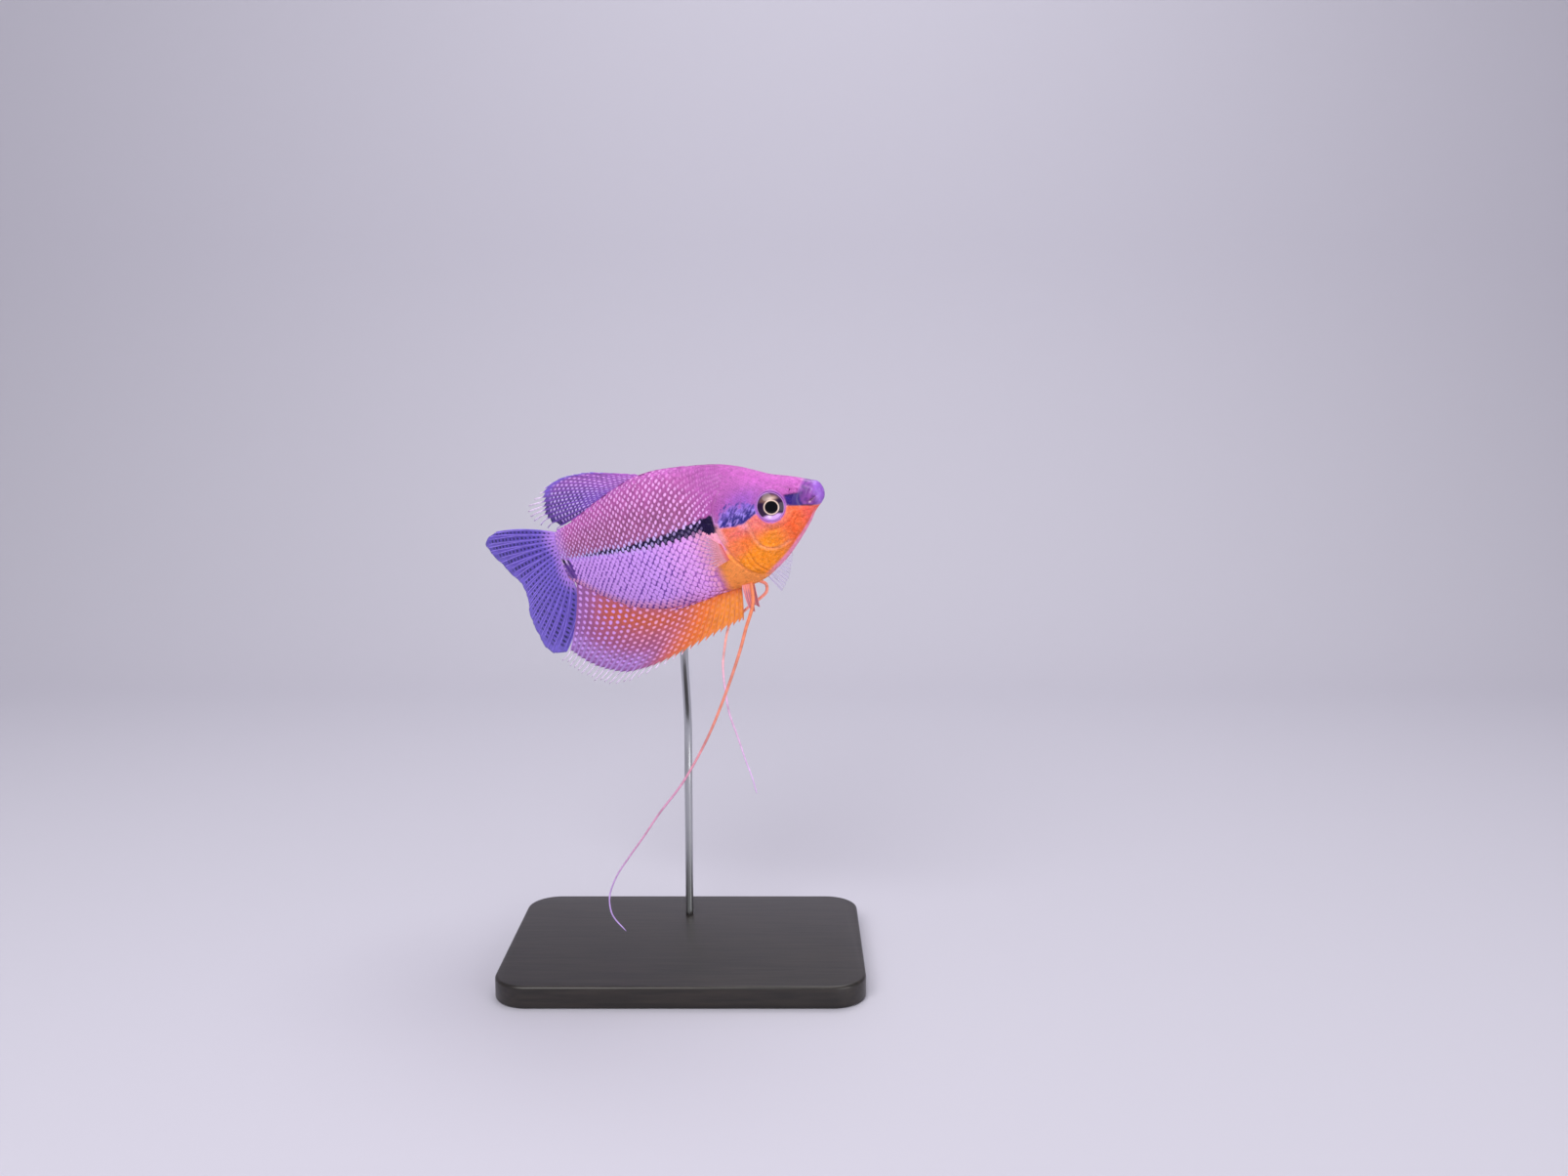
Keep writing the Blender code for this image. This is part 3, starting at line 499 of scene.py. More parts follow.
# %% Paint of the head
def head_paint(colours, points, ragged):
    """The cheek, the patch behind the eye and the muzzle, with painted shade and highlight on the
    mouth.
    """
    s, r, z = points.T
    place, height = shares(points)
    blotch, fine, mottle = (rough(points, *cloud) for cloud in ((2.6, 2), (0.42, 4), (0.9, 5)))
    throat = height - belly(place)
    share = place / gill_edge(np.clip(throat / (back(place) - belly(place)), 0, 1))
    cover = ease(share, 1.002, 0.99)
    brow = np.interp(place, (0.0, 0.031, 0.055, 0.078, 0.114, 0.16, 0.22, 0.27, 0.31, 0.35),
                     (-0.031, -0.031, -0.021, -0.014, -0.003, -0.010, -0.002, -0.020, -0.018, -0.012))
    drop = brow - height
    cheek = cover * ease(drop + ragged * 0.6, -0.004, 0.005)
    yellow = ease(height + 0.55 * (place - 0.24), -0.060, -0.110) * ease(place, 0.12, 0.20)
    pinkish = hill(place, 0.195, 0.055) * ease(drop, 0.062, 0.02)
    wash = ease(height, -0.085, -0.035) * ease(place, 0.11, 0.15)
    rim_height = np.interp(place, (0.04, 0.12, 0.25), (0.009, 0.017, 0.024))
    rim = ease(throat, rim_height, 0.45 * rim_height) * ease(place, 0.035, 0.06)
    fringe = ease(share, 0.925, 0.975) * ease(drop, -0.012, 0.0) * ease(height, -0.085, -0.05)
    colours = over(
        colours,
        ("F4824A", cheek),
        ("FF9A1C", cheek * yellow),
        ("F86224", cheek * ease(place, 0.17, 0.11) * (0.75 + 0.5 * blotch)),
        ("F4645C", cheek * ease(place, 0.10, 0.06) * 0.8),
        ("EE8284", cheek * pinkish * (0.85 + 0.3 * mottle)),
        ("E86E62", cheek * spot(s, z, 23.4, -3.6, 2.4, 1.3) * 0.8),
        ("FA8428", cheek * spot(s, z, 21.5, -6.2, 2.2, 1.5) * 0.8),
        ("F4B4CC", cover * spot(s, z, 20.8, -2.1, 1.3, 1.1) * 0.75),
        ("F8B088", cheek * hill(flat_distance(s, z, COVER_BONE), 0, 0.4) * 0.55),
        ("EE7478", cheek * wash * 0.32),
        ("D0522C", cheek * ease(fine, 0.05, 0.45) * 0.28),
        ("FFB880", cheek * ease(fine, -0.10, -0.45) * 0.22),
        ("FF9EBC", cheek * rim * ease(place, 0.27, 0.20)),
        ("F6AEB4", cover * fringe * 0.8),
        ("F2B6B0", spot(s, z, 28.6, -2.9, 1.1, 1.8) * 0.8),
    )
    low = np.interp(place, (0.20, 0.22, 0.268, 0.305, 0.334), (0.0, 0.0, -0.020, -0.017, -0.012))
    high = np.interp(place, (0.20, 0.23, 0.287, 0.318, 0.338), (0.022, 0.036, 0.048, 0.036, 0.012))
    rising = (height - low) / (high - low)
    streaks = rough(np.stack([s + 0.9 * z, r, 0.30 * (z - 0.9 * s)], axis=1), 0.50, 3)
    patch = ease(place, 0.198, 0.215) * ease(place, 0.342, 0.332)
    patch = patch * ease(rising + ragged * 12, -0.08, 0.05) * ease(rising + 0.6 * streaks, 1.3, 0.7)
    muzzle = ease(place + 0.75 * height, 0.104, 0.089) * ease(drop, 0.0, -0.004)
    corner = ease(place + height, 0.045, 0.085) * ease(height, 0.04, 0.02)
    seam = hill(drop, -0.0015, 0.0032) * ease(place, 0.035, 0.05)
    band_high = np.interp(place, (0.06, 0.115), (0.026, 0.034))
    band = ease(place + 0.012 * mottle, 0.062, 0.080) * ease(place, 0.124, 0.114)
    band = band * ease(drop, 0.0, -0.003)
    from_eye = np.hypot((place - EYE_PLACE) / 0.93, height - EYE_HEIGHT) * LENGTH
    return over(
        colours,
        ("9C62C6", cover * spot(s, z, 19.5, 4.2, 4.5, 2.6) * 0.75),
        ("7C6ED0", patch * 0.85),
        ("2A2A7C", patch * ease(rising, 0.70, 0.30) * ease(streaks, 0.42, 0.10)),
        ("3A2E80", patch * ease(streaks, -0.10, -0.38) * 0.8),
        ("AC9EF4", patch * ease(streaks, 0.10, 0.38) * (0.35 + 0.6 * rising)),
        ("B484C4", spot(s, z, 27.9, 1.2, 0.7, 1.4) * 0.7),
        ("3E2450", spot(s, z, 27.9, -0.65, 0.5, 0.6) * 0.9),
        ("8E4AA8", muzzle),
        ("5E2A84", muzzle * ease(mottle, 0.0, 0.35) * 0.7),
        ("9A68D2", ease(place, 0.040, 0.014) * ease(height, -0.034, -0.029) * 0.9),
        ("B488E0", muzzle * ease(mottle, -0.25, -0.5) * ease(place, 0.05, 0.03) * 0.5),
        ("54267A", muzzle * corner * 0.7),
        # Painted shade: the dark fold at the corner of the mouth.
        ("541650", spot(s, z, 3.3, -0.5, 1.15, 0.6) * (0.7 + 0.5 * fine)),
        # Painted highlight: a small pale glint on the corner of the mouth.
        ("F6C4DC", spot(s, z, 3.8, -0.95, 0.28, 0.2) * 0.8),
        ("38144E", seam * ease(place, 0.12, 0.105) * 0.9),
        ("35207C", band * ease(height, band_high, band_high - 0.005)),
        ("24104C", band * hill(height, band_high - 0.004, 0.003) * 0.7),
        ("A664C2", ease(from_eye, 4.18, 4.0) * 0.85),
    )


print("the cover's bone has", len(COVER_BONE), "points")

# %% Stripe and strokes
def strokes(place, height):
    """The two black strokes that slant down the tail stalk, and the pale streaks beside them."""
    def slanting(middle, centre, reach, half):
        off = np.abs(place - middle - 0.29 * (height + 0.021))
        return (ease(off, half + 0.0015, half - 0.001)
                * ease(np.abs(height - centre), reach, reach - 0.01))
    black = np.maximum(slanting(0.985, -0.043, 0.040, 0.0064), slanting(0.962, -0.038, 0.030, 0.0056))
    pale = np.maximum(slanting(0.9735, -0.036, 0.030, 0.0035), slanting(0.997, -0.045, 0.045, 0.0035))
    return np.maximum(black, spot(place, height, 0.968, -0.055, 0.013, 0.009)), pale


def stripe_paint(colours, points, ragged):
    """The black stripe and the strokes."""
    place, height = shares(points)
    near = np.abs(height - STRIPE_HEIGHT(place) + ragged)
    width = STRIPE_HALF(place)
    stripe = ease(near, width + 0.003, width - 0.001) * ease(place, 0.348, 0.356)
    black, pale = strokes(place, height)
    return over(colours, ("180638", stripe * ease(width, 0.0, 0.002)), ("F2DCFF", pale * 0.9),
                ("0E041E", black))


def paint(points):
    """The colour of the skin at points of the straight fish."""
    points = np.asarray(points, float)
    ragged = rough(points, 1.3, 1) * 0.006
    return stripe_paint(head_paint(body_paint(points), points, ragged), points, ragged)


print("back", np.round(paint([(40, 3, 14)])[0], 2), "flank", np.round(paint([(50, 3, -10)])[0], 2))

# %% [markdown]
# ## The skin
#
# One closed skin stands for head, trunk and tail stalk, so that no seam shows. It is a loft:
# rings around the body, closer together on the head. The rings follow the edge of the gill
# cover, which lets that edge stand up crisply. It lies a little inside the solids where the
# scales go. The lips, eye sockets, nostrils and folds are pushed out of or into it.

# %% Rings of the skin
AROUND = 192
HEAD_RINGS, BODY_RINGS, NOSE_RINGS = 150, 90, 16
FRONT = 0.020
COAT_DEPTH = 0.14
TAIL_DOME = 0.7
turn_around = math.tau * np.arange(AROUND) / AROUND - math.pi / 2
height_share = (1 + np.sin(turn_around)) / 2
cover_edge = gill_edge(height_share)


def ring_rows():
    """Place, and how far out of the plain body, for every ring of the skin."""
    rows, lifts = [], []
    cheek = ease(height_share, 0.03, 0.16) * ease(height_share, 0.82, 0.66)
    for share in (np.arange(HEAD_RINGS + 1) / HEAD_RINGS) ** 1.3:
        rows.append(FRONT + (cover_edge - FRONT) * share)
        sunk = COAT_DEPTH * ease(share, 0.70, 1.0) * (1 - cheek)
        lifts.append(0.20 * ease(share, 0.80, 0.97) * cheek - sunk)
    for step, drop in ((0.0006, -0.08), (0.004, -0.14), (0.010, -0.08)):
        rows.append(cover_edge + step)
        level = cheek * ease(np.full(AROUND, step), 0.0, 0.006) + 1 - cheek
        lifts.append(drop * cheek - COAT_DEPTH * level)
    start = rows[-1]
    for share in np.arange(1, BODY_RINGS + 1) / BODY_RINGS:
        rows.append(start + (1.0 - start) * share)
        lifts.append(np.full(AROUND, -COAT_DEPTH))
    return np.array(rows), np.array(lifts)


def outward(grid):
    """Unit normals of a grid of points whose columns go around from the belly."""
    along = np.gradient(grid, axis=0)
    around = np.roll(grid, -1, axis=1) - np.roll(grid, 1, axis=1)
    normal = np.cross(along, around)
    normal = normal / np.maximum(np.linalg.norm(normal, axis=-1, keepdims=True), 1e-9)
    return normal * np.sign(normal[-40, AROUND // 4, 1])


ring_places, ring_lifts = ring_rows()
skin_grid = flank(ring_places, turn_around[None, :])
skin_grid = skin_grid + outward(skin_grid) * ring_lifts[..., None]
nose_shares = np.arange(1, NOSE_RINGS)[:, None, None] / NOSE_RINGS
nose_middle = skin_grid[0].mean(axis=0)
nose = nose_middle + (skin_grid[0] - nose_middle) * nose_shares
nose[..., 0] -= 0.5 * (1 - nose_shares[..., 0] ** 2)
skin_grid = np.vstack([nose, skin_grid])
print("skin grid", skin_grid.shape[:2])

# %% [markdown]
# ## The mouth
#
# The mouth is small and turned up, and its two thick lips close to one soft bulb. A sculptor
# would press an egg of clay on the muzzle, roll two sausages around it and smear them in. Here
# each lip is a row of overlapping balls, and the skin's points are pushed out along rays from
# inside the head onto egg and balls. Where upper and lower lip meet, the mouth is cut in.

# %% Lips
UPPER_LIP = ((4.6, 2.45, -0.45), (3.0, 1.85, 1.00), (1.95, 0, 2.00))
LOWER_LIP = ((4.5, 2.30, -1.30), (2.8, 1.70, -0.95), (1.85, 0, -0.45))
BULB_AT, BULB_SIZE = np.array((2.95, 0.0, 0.62)), np.array((2.86, 2.30, 3.05))
MUZZLE_LENGTH, MUZZLE_HEART = 8.0, np.array((6.0, 0.0, -0.4))


def both_sides(half):
    """A route from one corner of the mouth round the front to the other."""
    return list(half) + [(s, -r, z) for s, r, z in reversed(half[:-1])]


def reach_of_lip(way, half, radii, count=61):
    """How far from the heart of the muzzle a lip's balls reach, along each way."""
    to = smooth_path(both_sides(half), count) - MUZZLE_HEART
    radius = through(radii)(np.abs(np.linspace(-1, 1, count)))
    along = way @ to.T
    inside = along ** 2 - (to ** 2).sum(1) + radius ** 2
    return (along + np.sign(inside) * np.sqrt(np.abs(inside))).max(axis=1)


def reach_of_bulb(way):
    """How far from the heart of the muzzle the egg shape of the closed mouth reaches."""
    to, way = (MUZZLE_HEART - BULB_AT) / BULB_SIZE, way / BULB_SIZE
    a, b, c = (way ** 2).sum(1), way @ to, to @ to - 1
    return (-b + np.sign(b * b - a * c) * np.sqrt(np.abs(b * b - a * c))) / a


def softer(a, b, width):
    """The larger of two values, with the crease between them filled."""
    return (a + b + np.sqrt((a - b) ** 2 + width ** 2)) / 2


muzzle = skin_grid[..., 0] < MUZZLE_LENGTH
tip = skin_grid[muzzle]
old = np.linalg.norm(tip - MUZZLE_HEART, axis=1)
way = (tip - MUZZLE_HEART) / old[:, None]
upper = reach_of_lip(way, UPPER_LIP, ((0, 1.38), (0.5, 1.18), (1, 0.50)))
lower = reach_of_lip(way, LOWER_LIP, ((0, 1.28), (0.5, 1.05), (1, 0.45)))
lips = softer(softer(upper, lower, 0.2), reach_of_bulb(way), 0.30)
near_mouth = ease(tip[:, 0], 7.5, 5.5)
gape = np.exp(-(((upper - lower) / 0.20) ** 2)) * ease(np.minimum(upper, lower) - old, -0.6, -0.2)
reach = old + near_mouth * (softer(old, lips, 0.45) - old) - 0.28 * gape
skin_grid[muzzle] = MUZZLE_HEART + way * reach[:, None]
# Painted shade for the groove where the lips meet: how dark it is painted.
mouth_shade_line = np.zeros(skin_grid.shape[:2])
mouth_shade_line[muzzle] = gape * (0.6 + 0.4 * ease(np.abs(tip[:, 1]), 0.5, 1.5))
print("muzzle points", len(tip), "front at", round(skin_grid[..., 0].min(), 2), "mm")

# %% [markdown]
# ## Eye sockets, nostrils and folds
#
# The eye is a flat lens in a ring of skin. Its plane is found from a circle of points on the
# cheek around it, so the eye faces the way the cheek does there. Two small nostrils open
# between eye and lip, and fine folds mark the bones of the cheek. Each is a short rule: how
# far a point moves in or out, as a function of its distance from a centre or a line.

# %% Head relief
HEAD_LENGTH, CHEEK_CIRCLE = 30.0, 4.3
EYE_RADIUS, EYE_NARROW = 3.72, 0.93
NOSTRILS = ((6.2, 2.9), (7.9, 3.4))
FOLDS = (
    COVER_BONE,
    ((0.095, -0.030), (0.125, -0.052), (0.160, -0.066), (0.198, -0.062)),
    ((0.262, -0.050), (0.275, -0.100), (0.268, -0.150), (0.245, -0.190)),
    ((0.070, 0.030), (0.080, 0.004), (0.074, -0.020)),
)
clock = np.linspace(0, math.tau, 24, endpoint=False)
circle_s = EYE_PLACE * LENGTH + CHEEK_CIRCLE * np.cos(clock)
circle_z = EYE_HEIGHT * LENGTH + CHEEK_CIRCLE * np.sin(clock)
circle = np.stack([circle_s, side_at(circle_s / LENGTH, circle_z), circle_z], axis=1)
EYE_MIDDLE = circle.mean(axis=0) + (0, 0.25, 0)
EYE_AXIS = np.linalg.svd(circle - circle.mean(axis=0))[2][2]
EYE_AXIS = EYE_AXIS * np.sign(EYE_AXIS[1])
EYE_FORE = np.array((-1.0, 0, 0)) + EYE_AXIS * EYE_AXIS[0]
EYE_FORE /= np.linalg.norm(EYE_FORE)


def around_eye(points):
    """Depth below the plane of the eye, place in that plane, and distance from its middle."""
    to = points * (1, 0, 1) + np.abs(points) * (0, 1, 0) - EYE_MIDDLE
    depth = to @ EYE_AXIS
    flat = to - depth[:, None] * EYE_AXIS
    fore = flat @ EYE_FORE
    wider = (1 / EYE_NARROW ** 2 - 1) * fore ** 2
    return depth, flat, np.sqrt((flat ** 2).sum(axis=1) + wider)


head_part = skin_grid[..., 0] < HEAD_LENGTH
outs = outward(skin_grid)[head_part]
spots = skin_grid[head_part]
s, r, z = spots.T
lateral = np.abs(outs[:, 1])
move = np.zeros(len(spots))
for route in FOLDS:
    near = flat_distance(s, z, route)
    fold = -0.14 * np.exp(-((near / 0.28) ** 2)) + 0.06 * np.exp(-(((near - 0.7) / 0.4) ** 2))
    move += fold * lateral
for nostril_s, nostril_z in NOSTRILS:
    near = np.hypot(s - nostril_s, z - nostril_z)
    move += 0.14 * np.exp(-(((near - 0.52) / 0.2) ** 2)) - 0.5 * np.exp(-((near / 0.28) ** 2))
spots = spots + outs * move[:, None]
depth, flat, from_eye = around_eye(spots)
weight = ease(from_eye, 5.8, 4.2) * ease(np.abs(spots[:, 1]), 0.8, 1.6)
socket = 0.20 * np.exp(-(((from_eye - 3.98) / 0.20) ** 2)) - 0.9 * ease(from_eye, 3.80, 3.50)
risen = EYE_MIDDLE + flat + ((1 - weight) * depth + weight * socket)[:, None] * EYE_AXIS
risen[:, 1] = np.copysign(risen[:, 1], spots[:, 1])
skin_grid[head_part] = np.where(weight[:, None] > 0, risen, spots)
print("eye axis", np.round(EYE_AXIS, 2), "middle", np.round(EYE_MIDDLE, 2))

# %% Skin mesh
def closed_grid(name, grid):
    """A tube of rings, closed by a fan at each end."""
    rows, around = grid.shape[:2]
    front, rear = grid[0].mean(axis=0), grid[-1].mean(axis=0) + (TAIL_DOME, 0, 0)
    points = np.vstack([grid.reshape(-1, 3), front, rear])
    last, next_one = (rows - 1) * around, np.roll(np.arange(around), -1).tolist()
    faces = [(i + j, i + k, i + around + k, i + around + j)
             for i in range(0, last, around) for j, k in enumerate(next_one)]
    for j, k in enumerate(next_one):
        faces += [(rows * around, k, j), (rows * around + 1, last + j, last + k)]
    return mesh_object(name, points, faces)


def unwrap(points):
    """A place on the flattened skin: back from the snout, and around from the belly."""
    place, height = shares(points)
    lift = np.clip((height - belly(place)) / (back(place) - belly(place)), 0.0, 1.0)
    around = np.arccos(1 - 2 * lift) / math.tau
    around = np.where(points[:, 1] > 0, around, 1 - around)
    return np.stack([0.02 + 0.92 * place / 1.02, around], axis=1)


skin = closed_grid("skin", skin_grid)
skin_points = points_of(skin.data)
write(skin.data, "paint", paint(skin_points))
# The painted shade in the groove between the lips, kept under the name mouth.
write(skin.data, "mouth", np.append(mouth_shade_line.ravel(), (0.0, 0.0)))
bake_map(skin, unwrap(skin_points))
print("skin", len(skin.data.polygons), "faces")

# %% [markdown]
# ## Bare skin
#
# Fish skin is living tissue under a film of slime, so it is soft in colour and wet in shine:
# a low clear coat over a rougher base. Between the small scales of the head it has a grain
# half a millimetre wide, which a cell pattern gives as tint and bump.

# %% Bare skin material
def clouds(tree, way, size, detail=2.0, roughness=0.5):
    """Soft random values that change over a size."""
    return add(tree, "ShaderNodeTexNoise", {"Vector": way, "Scale": 1 / size, "Detail": detail,
                                            "Roughness": roughness}).outputs["Fac"]


def mottled(tree, colour, cloud, low, high):
    """A colour made darker and lighter by clouds, as on all that lives."""
    return mixed(tree, 1.0, colour, ranged(tree, cloud, 0.3, 0.7, low, high), "MULTIPLY")


def relief(tree, height, strength, depth):
    """Bumps of a depth in millimetres."""
    return add(tree, "ShaderNodeBump", {"Height": height, "Strength": strength,
                                        "Distance": depth * MM})


def skin_material():
    made, tree = material("wet bare skin")
    place = add(tree, "ShaderNodeTexCoord").outputs["Object"]
    cells = add(tree, "ShaderNodeTexVoronoi", {"Vector": place, "Scale": 1 / (0.5 * MM)},
                feature="DISTANCE_TO_EDGE").outputs["Distance"]
    seams = maths(tree, "MULTIPLY", ranged(tree, cells, 0.0, 0.16, 1.0, 0.0, soft=True), 0.07)
    toned = mixed(tree, seams, stored(tree, "paint"), linear("9A3A58"))
    lit = mottled(tree, toned, clouds(tree, place, 1.6 * MM, 3.0, 0.6), 0.86, 1.12)
    # Painted shade: the groove where the lips meet is darkened.
    dark = ranged(tree, stored(tree, "mouth", "Fac"), 0.40, 0.85)
    bumps = relief(tree, maths(tree, "MINIMUM", cells, 0.4), 0.25, 0.08)
    surface(tree, mixed(tree, dark, lit, linear("5A1838")), 0.45, Normal=bumps, IOR=1.4,
            Coat_Weight=0.25, Coat_Roughness=0.22)
    return made


skin.data.materials.append(skin_material())
put(skin, "head", "trunk", "tail_stalk", slot="trunk_skin")

# %% [markdown]
# ## The scales
#
# The scales overlap like tiles, each covering the joint of the two in front of it. They sit
# on a lattice along the body, in columns that draw closer together towards the tail, with
# every other row shifted. The head has smaller ones. Modelling five thousand scales by hand is
# hopeless, and a bump map would leave the edge of the body smooth, so one scale is instanced
# by Geometry Nodes.

# %% Where the scales grow
COLUMN_STEP = through(((0.25, 0.80), (0.31, 1.05), (0.38, 1.55), (0.46, 2.05), (0.60, 1.95),
                       (0.80, 1.70), (1.0, 1.40)))
ROW_STEP = through(((0.25, 0.40), (0.31, 0.54), (0.38, 0.80), (0.46, 1.04), (0.60, 1.06),
                    (0.80, 0.90), (1.0, 0.66)))
MIDDLE_ROW = -0.010
skin_faces = [tuple(face.vertices) for face in skin.data.polygons]
skin_tree = BVHTree.FromPolygons([Vector(p) for p in skin_points], skin_faces)


def scale_roots(side, start, stop, column_step, row_step, wanted):
    """Point, lie, outward way and size of the scales of one side, in shifted columns."""
    fan = np.linspace(-math.pi / 2, math.pi / 2, 181)
    chance = np.random.default_rng(9 + side)
    place, number, found = start, 0, []
    while place < stop:
        ring = flank(place, fan)
        length = walked(ring)
        middle = np.interp(MIDDLE_ROW * LENGTH, ring[:, 2], length)
        step, long = float(row_step(place)), float(column_step(place))
        for row in range(math.ceil(-middle / step), math.floor((length[-1] - middle) / step) + 1):
            angle = np.interp(middle + row * step, length, fan)
            if (row + number) % 2 or not wanted(place, angle):
                continue
            at, behind = flank(np.array((place, place + 0.01)), angle)
            drift = chance.normal(0, 0.035 * step, 3)
            seat, out, _, _ = skin_tree.find_nearest(Vector(at + drift))
            lie = Vector(behind - at)
            lie = (lie - out * lie.dot(out)).normalized()
            narrow = 0.62 + 0.38 * float(ease(at[1], 0.4, 2.6))
            found.append((seat, lie, out, Vector((long, 2.24 * step * narrow, long))))
        place += long / LENGTH / 2
        number += 1
    values = np.array(found)
    values[:, :3, 1] *= side
    return values


def behind_cover(place, angle):
    start = 0.003 if flank(place, angle)[2] < 0.10 * LENGTH else -0.004
    behind = place > gill_edge((1 + math.sin(angle)) / 2) + start
    return behind and not on_breast(place, angle)


def on_head(place, angle):
    """On cheek, nape and throat, but not on the muzzle, in the eye or over the cover's edge."""
    s, _, z = flank(place, angle)
    share = place / gill_edge((1 + math.sin(angle)) / 2)
    from_eye = math.hypot(s - EYE_PLACE * LENGTH, z - EYE_HEIGHT * LENGTH)
    front = 0.108 - 0.75 * z / LENGTH if z > -2.3 else 0.055
    last = 0.975 if z < 0.10 * LENGTH else 0.985
    return front < place and share < last and from_eye > 4.25 or on_breast(place, angle)


def on_breast(place, angle):
    """The smooth breast, between the gill cover and the pelvic fins."""
    height = flank(place, angle)[2] / LENGTH
    low = height + 0.45 * (place - 0.32) < -0.105
    return low and place < 0.40 and place > gill_edge((1 + math.sin(angle)) / 2) + 0.004


def even(value):
    return lambda place: value


roots = {side: scale_roots(side, 0.258, 0.996, COLUMN_STEP, ROW_STEP, behind_cover)
         for side in (1, -1)}
face_roots = {side: scale_roots(side, 0.05, 0.40, even(0.80), even(0.40), on_head)
              for side in (1, -1)}
print("scales on each side", len(roots[1]), "and on the face", len(face_roots[1]))

# %% [markdown]
# ## One scale
#
# A scale is a thin rounded shield, slightly domed, its front edge buried and its rear edge
# free. It is drawn one unit tall and scaled to its place. It has a few dozen faces, because
# it is repeated more than a thousand times on each side.

# %% The shape of a scale
def scale_shape(name, cells, relief=1.0):
    """A shield one unit tall and a little longer, with its root at the middle."""
    thick, points, faces = 0.011, [], []
    for side in (1, -1):
        for i in range(cells + 1):
            for j in range(cells + 1):
                y = 2 * j / cells - 1
                front, rear = -0.58 + 0.10 * y * y, 0.62 - 0.34 * abs(y) ** 2.2
                share = (i / cells) ** 0.9
                edge = 1 - 0.6 * max(abs(y) ** 4, share ** 4)
                dome = 0.022 * (1 - y * y) - 0.01 * share ** 2
                lift = relief * (dome + side * thick * edge)
                points.append((front + (rear - front) * share, y / 2, lift))
    width = cells + 1
    under = width * width
    for a in (i * width + j for i in range(cells) for j in range(cells)):
        faces.append((a, a + width, a + width + 1, a + 1))
        faces.append((under + a, under + a + 1, under + a + width + 1, under + a + width))
    rim = list(range(width)) + [i * width + cells for i in range(1, width)]
    rim += [cells * width + j for j in range(cells - 1, -1, -1)]
    rim += [i * width for i in range(cells - 1, 0, -1)]
    for a, b in zip(rim, rim[1:] + rim[:1]):
        faces.append((a, b, under + b, under + a))
    shape = mesh_object(name, points, faces)
    write(shape.data, "on_scale", points)
    shape.hide_render = True
    return shape


body_scale, face_scale = scale_shape("body_scale", 5), scale_shape("face_scale", 3, 0.8)
print("one scale has", len(body_scale.data.polygons), "faces")

# %% Geometry Nodes that lay the scales
def laying_tree():
    tree, given = node_group("lay_scales", "GeometryNodeTree", (
        ("Geometry", "Geometry", None), ("Scale Shape", "Object", None), ("Tilt", "Float", 0.1),
        ("Unevenness", "Float", 0.05), ("Seed", "Int", 1), ("Finish", "Material", None),
    ), "Geometry", "Geometry")
    lie, out, size = (
        add(tree, "GeometryNodeInputNamedAttribute", {"Name": name}, data_type="FLOAT_VECTOR")
        for name in ("lie", "out", "size")
    )
    facing = add(tree, "FunctionNodeAxesToRotation",
                 {"Primary Axis": out, "Secondary Axis": lie}, primary_axis="Z",
                 secondary_axis="X")
    low = maths(tree, "SUBTRACT", 0.0, given["Unevenness"])
    wobble = add(tree, "FunctionNodeRandomValue",
                 {"Min": low, "Max": given["Unevenness"], "Seed": given["Seed"]},
                 data_type="FLOAT")
    lean = maths(tree, "SUBTRACT", wobble, given["Tilt"])
    turn = add(tree, "ShaderNodeCombineXYZ", {"Y": lean, "Z": wobble})
    tilt = add(tree, "FunctionNodeEulerToRotation", {"Euler": turn})
    turned = add(tree, "FunctionNodeRotateRotation", {"Rotation": facing, "Rotate By": tilt},
                 rotation_space="LOCAL")
    shape = add(tree, "GeometryNodeObjectInfo", {"Object": given["Scale Shape"]})
    laid = add(tree, "GeometryNodeInstanceOnPoints",
               {"Points": given["Geometry"], "Instance": shape.outputs["Geometry"],
                "Rotation": turned, "Scale": size})
    real = add(tree, "GeometryNodeRealizeInstances", {"Geometry": laid})
    add(tree, "NodeGroupOutput", {"Geometry": add(
        tree, "GeometryNodeSetMaterial", {"Geometry": real, "Material": given["Finish"]})})
    return tree


def run_tree(obj, tree, **inputs):
    """Runs a Geometry Nodes tree on an object with named inputs, and keeps the plain result."""
    modifier = obj.modifiers.new(tree.name, "NODES")
    modifier.node_group = tree
    keys = {item.name: item.identifier for item in tree.interface.items_tree
            if item.in_out == "INPUT"}
    for name, value in inputs.items():
        modifier[keys[name.replace("_", " ")]] = value
    return plain_mesh(obj)


LAY_SCALES = laying_tree()
print("laying tree has", len(LAY_SCALES.nodes), "nodes")

# %% [markdown]
# ## Pearly scales
#
# A pearl is a patch of shiny crystals under clear skin. On the back it is a small oval in a
# rosy field. Below the stripe it fills nearly the whole scale, so only thin violet lines are
# left between. One material does both: each scale carries the size of its own pearl, and the
# coordinates on the scale say how far a point is from the pearl's middle.

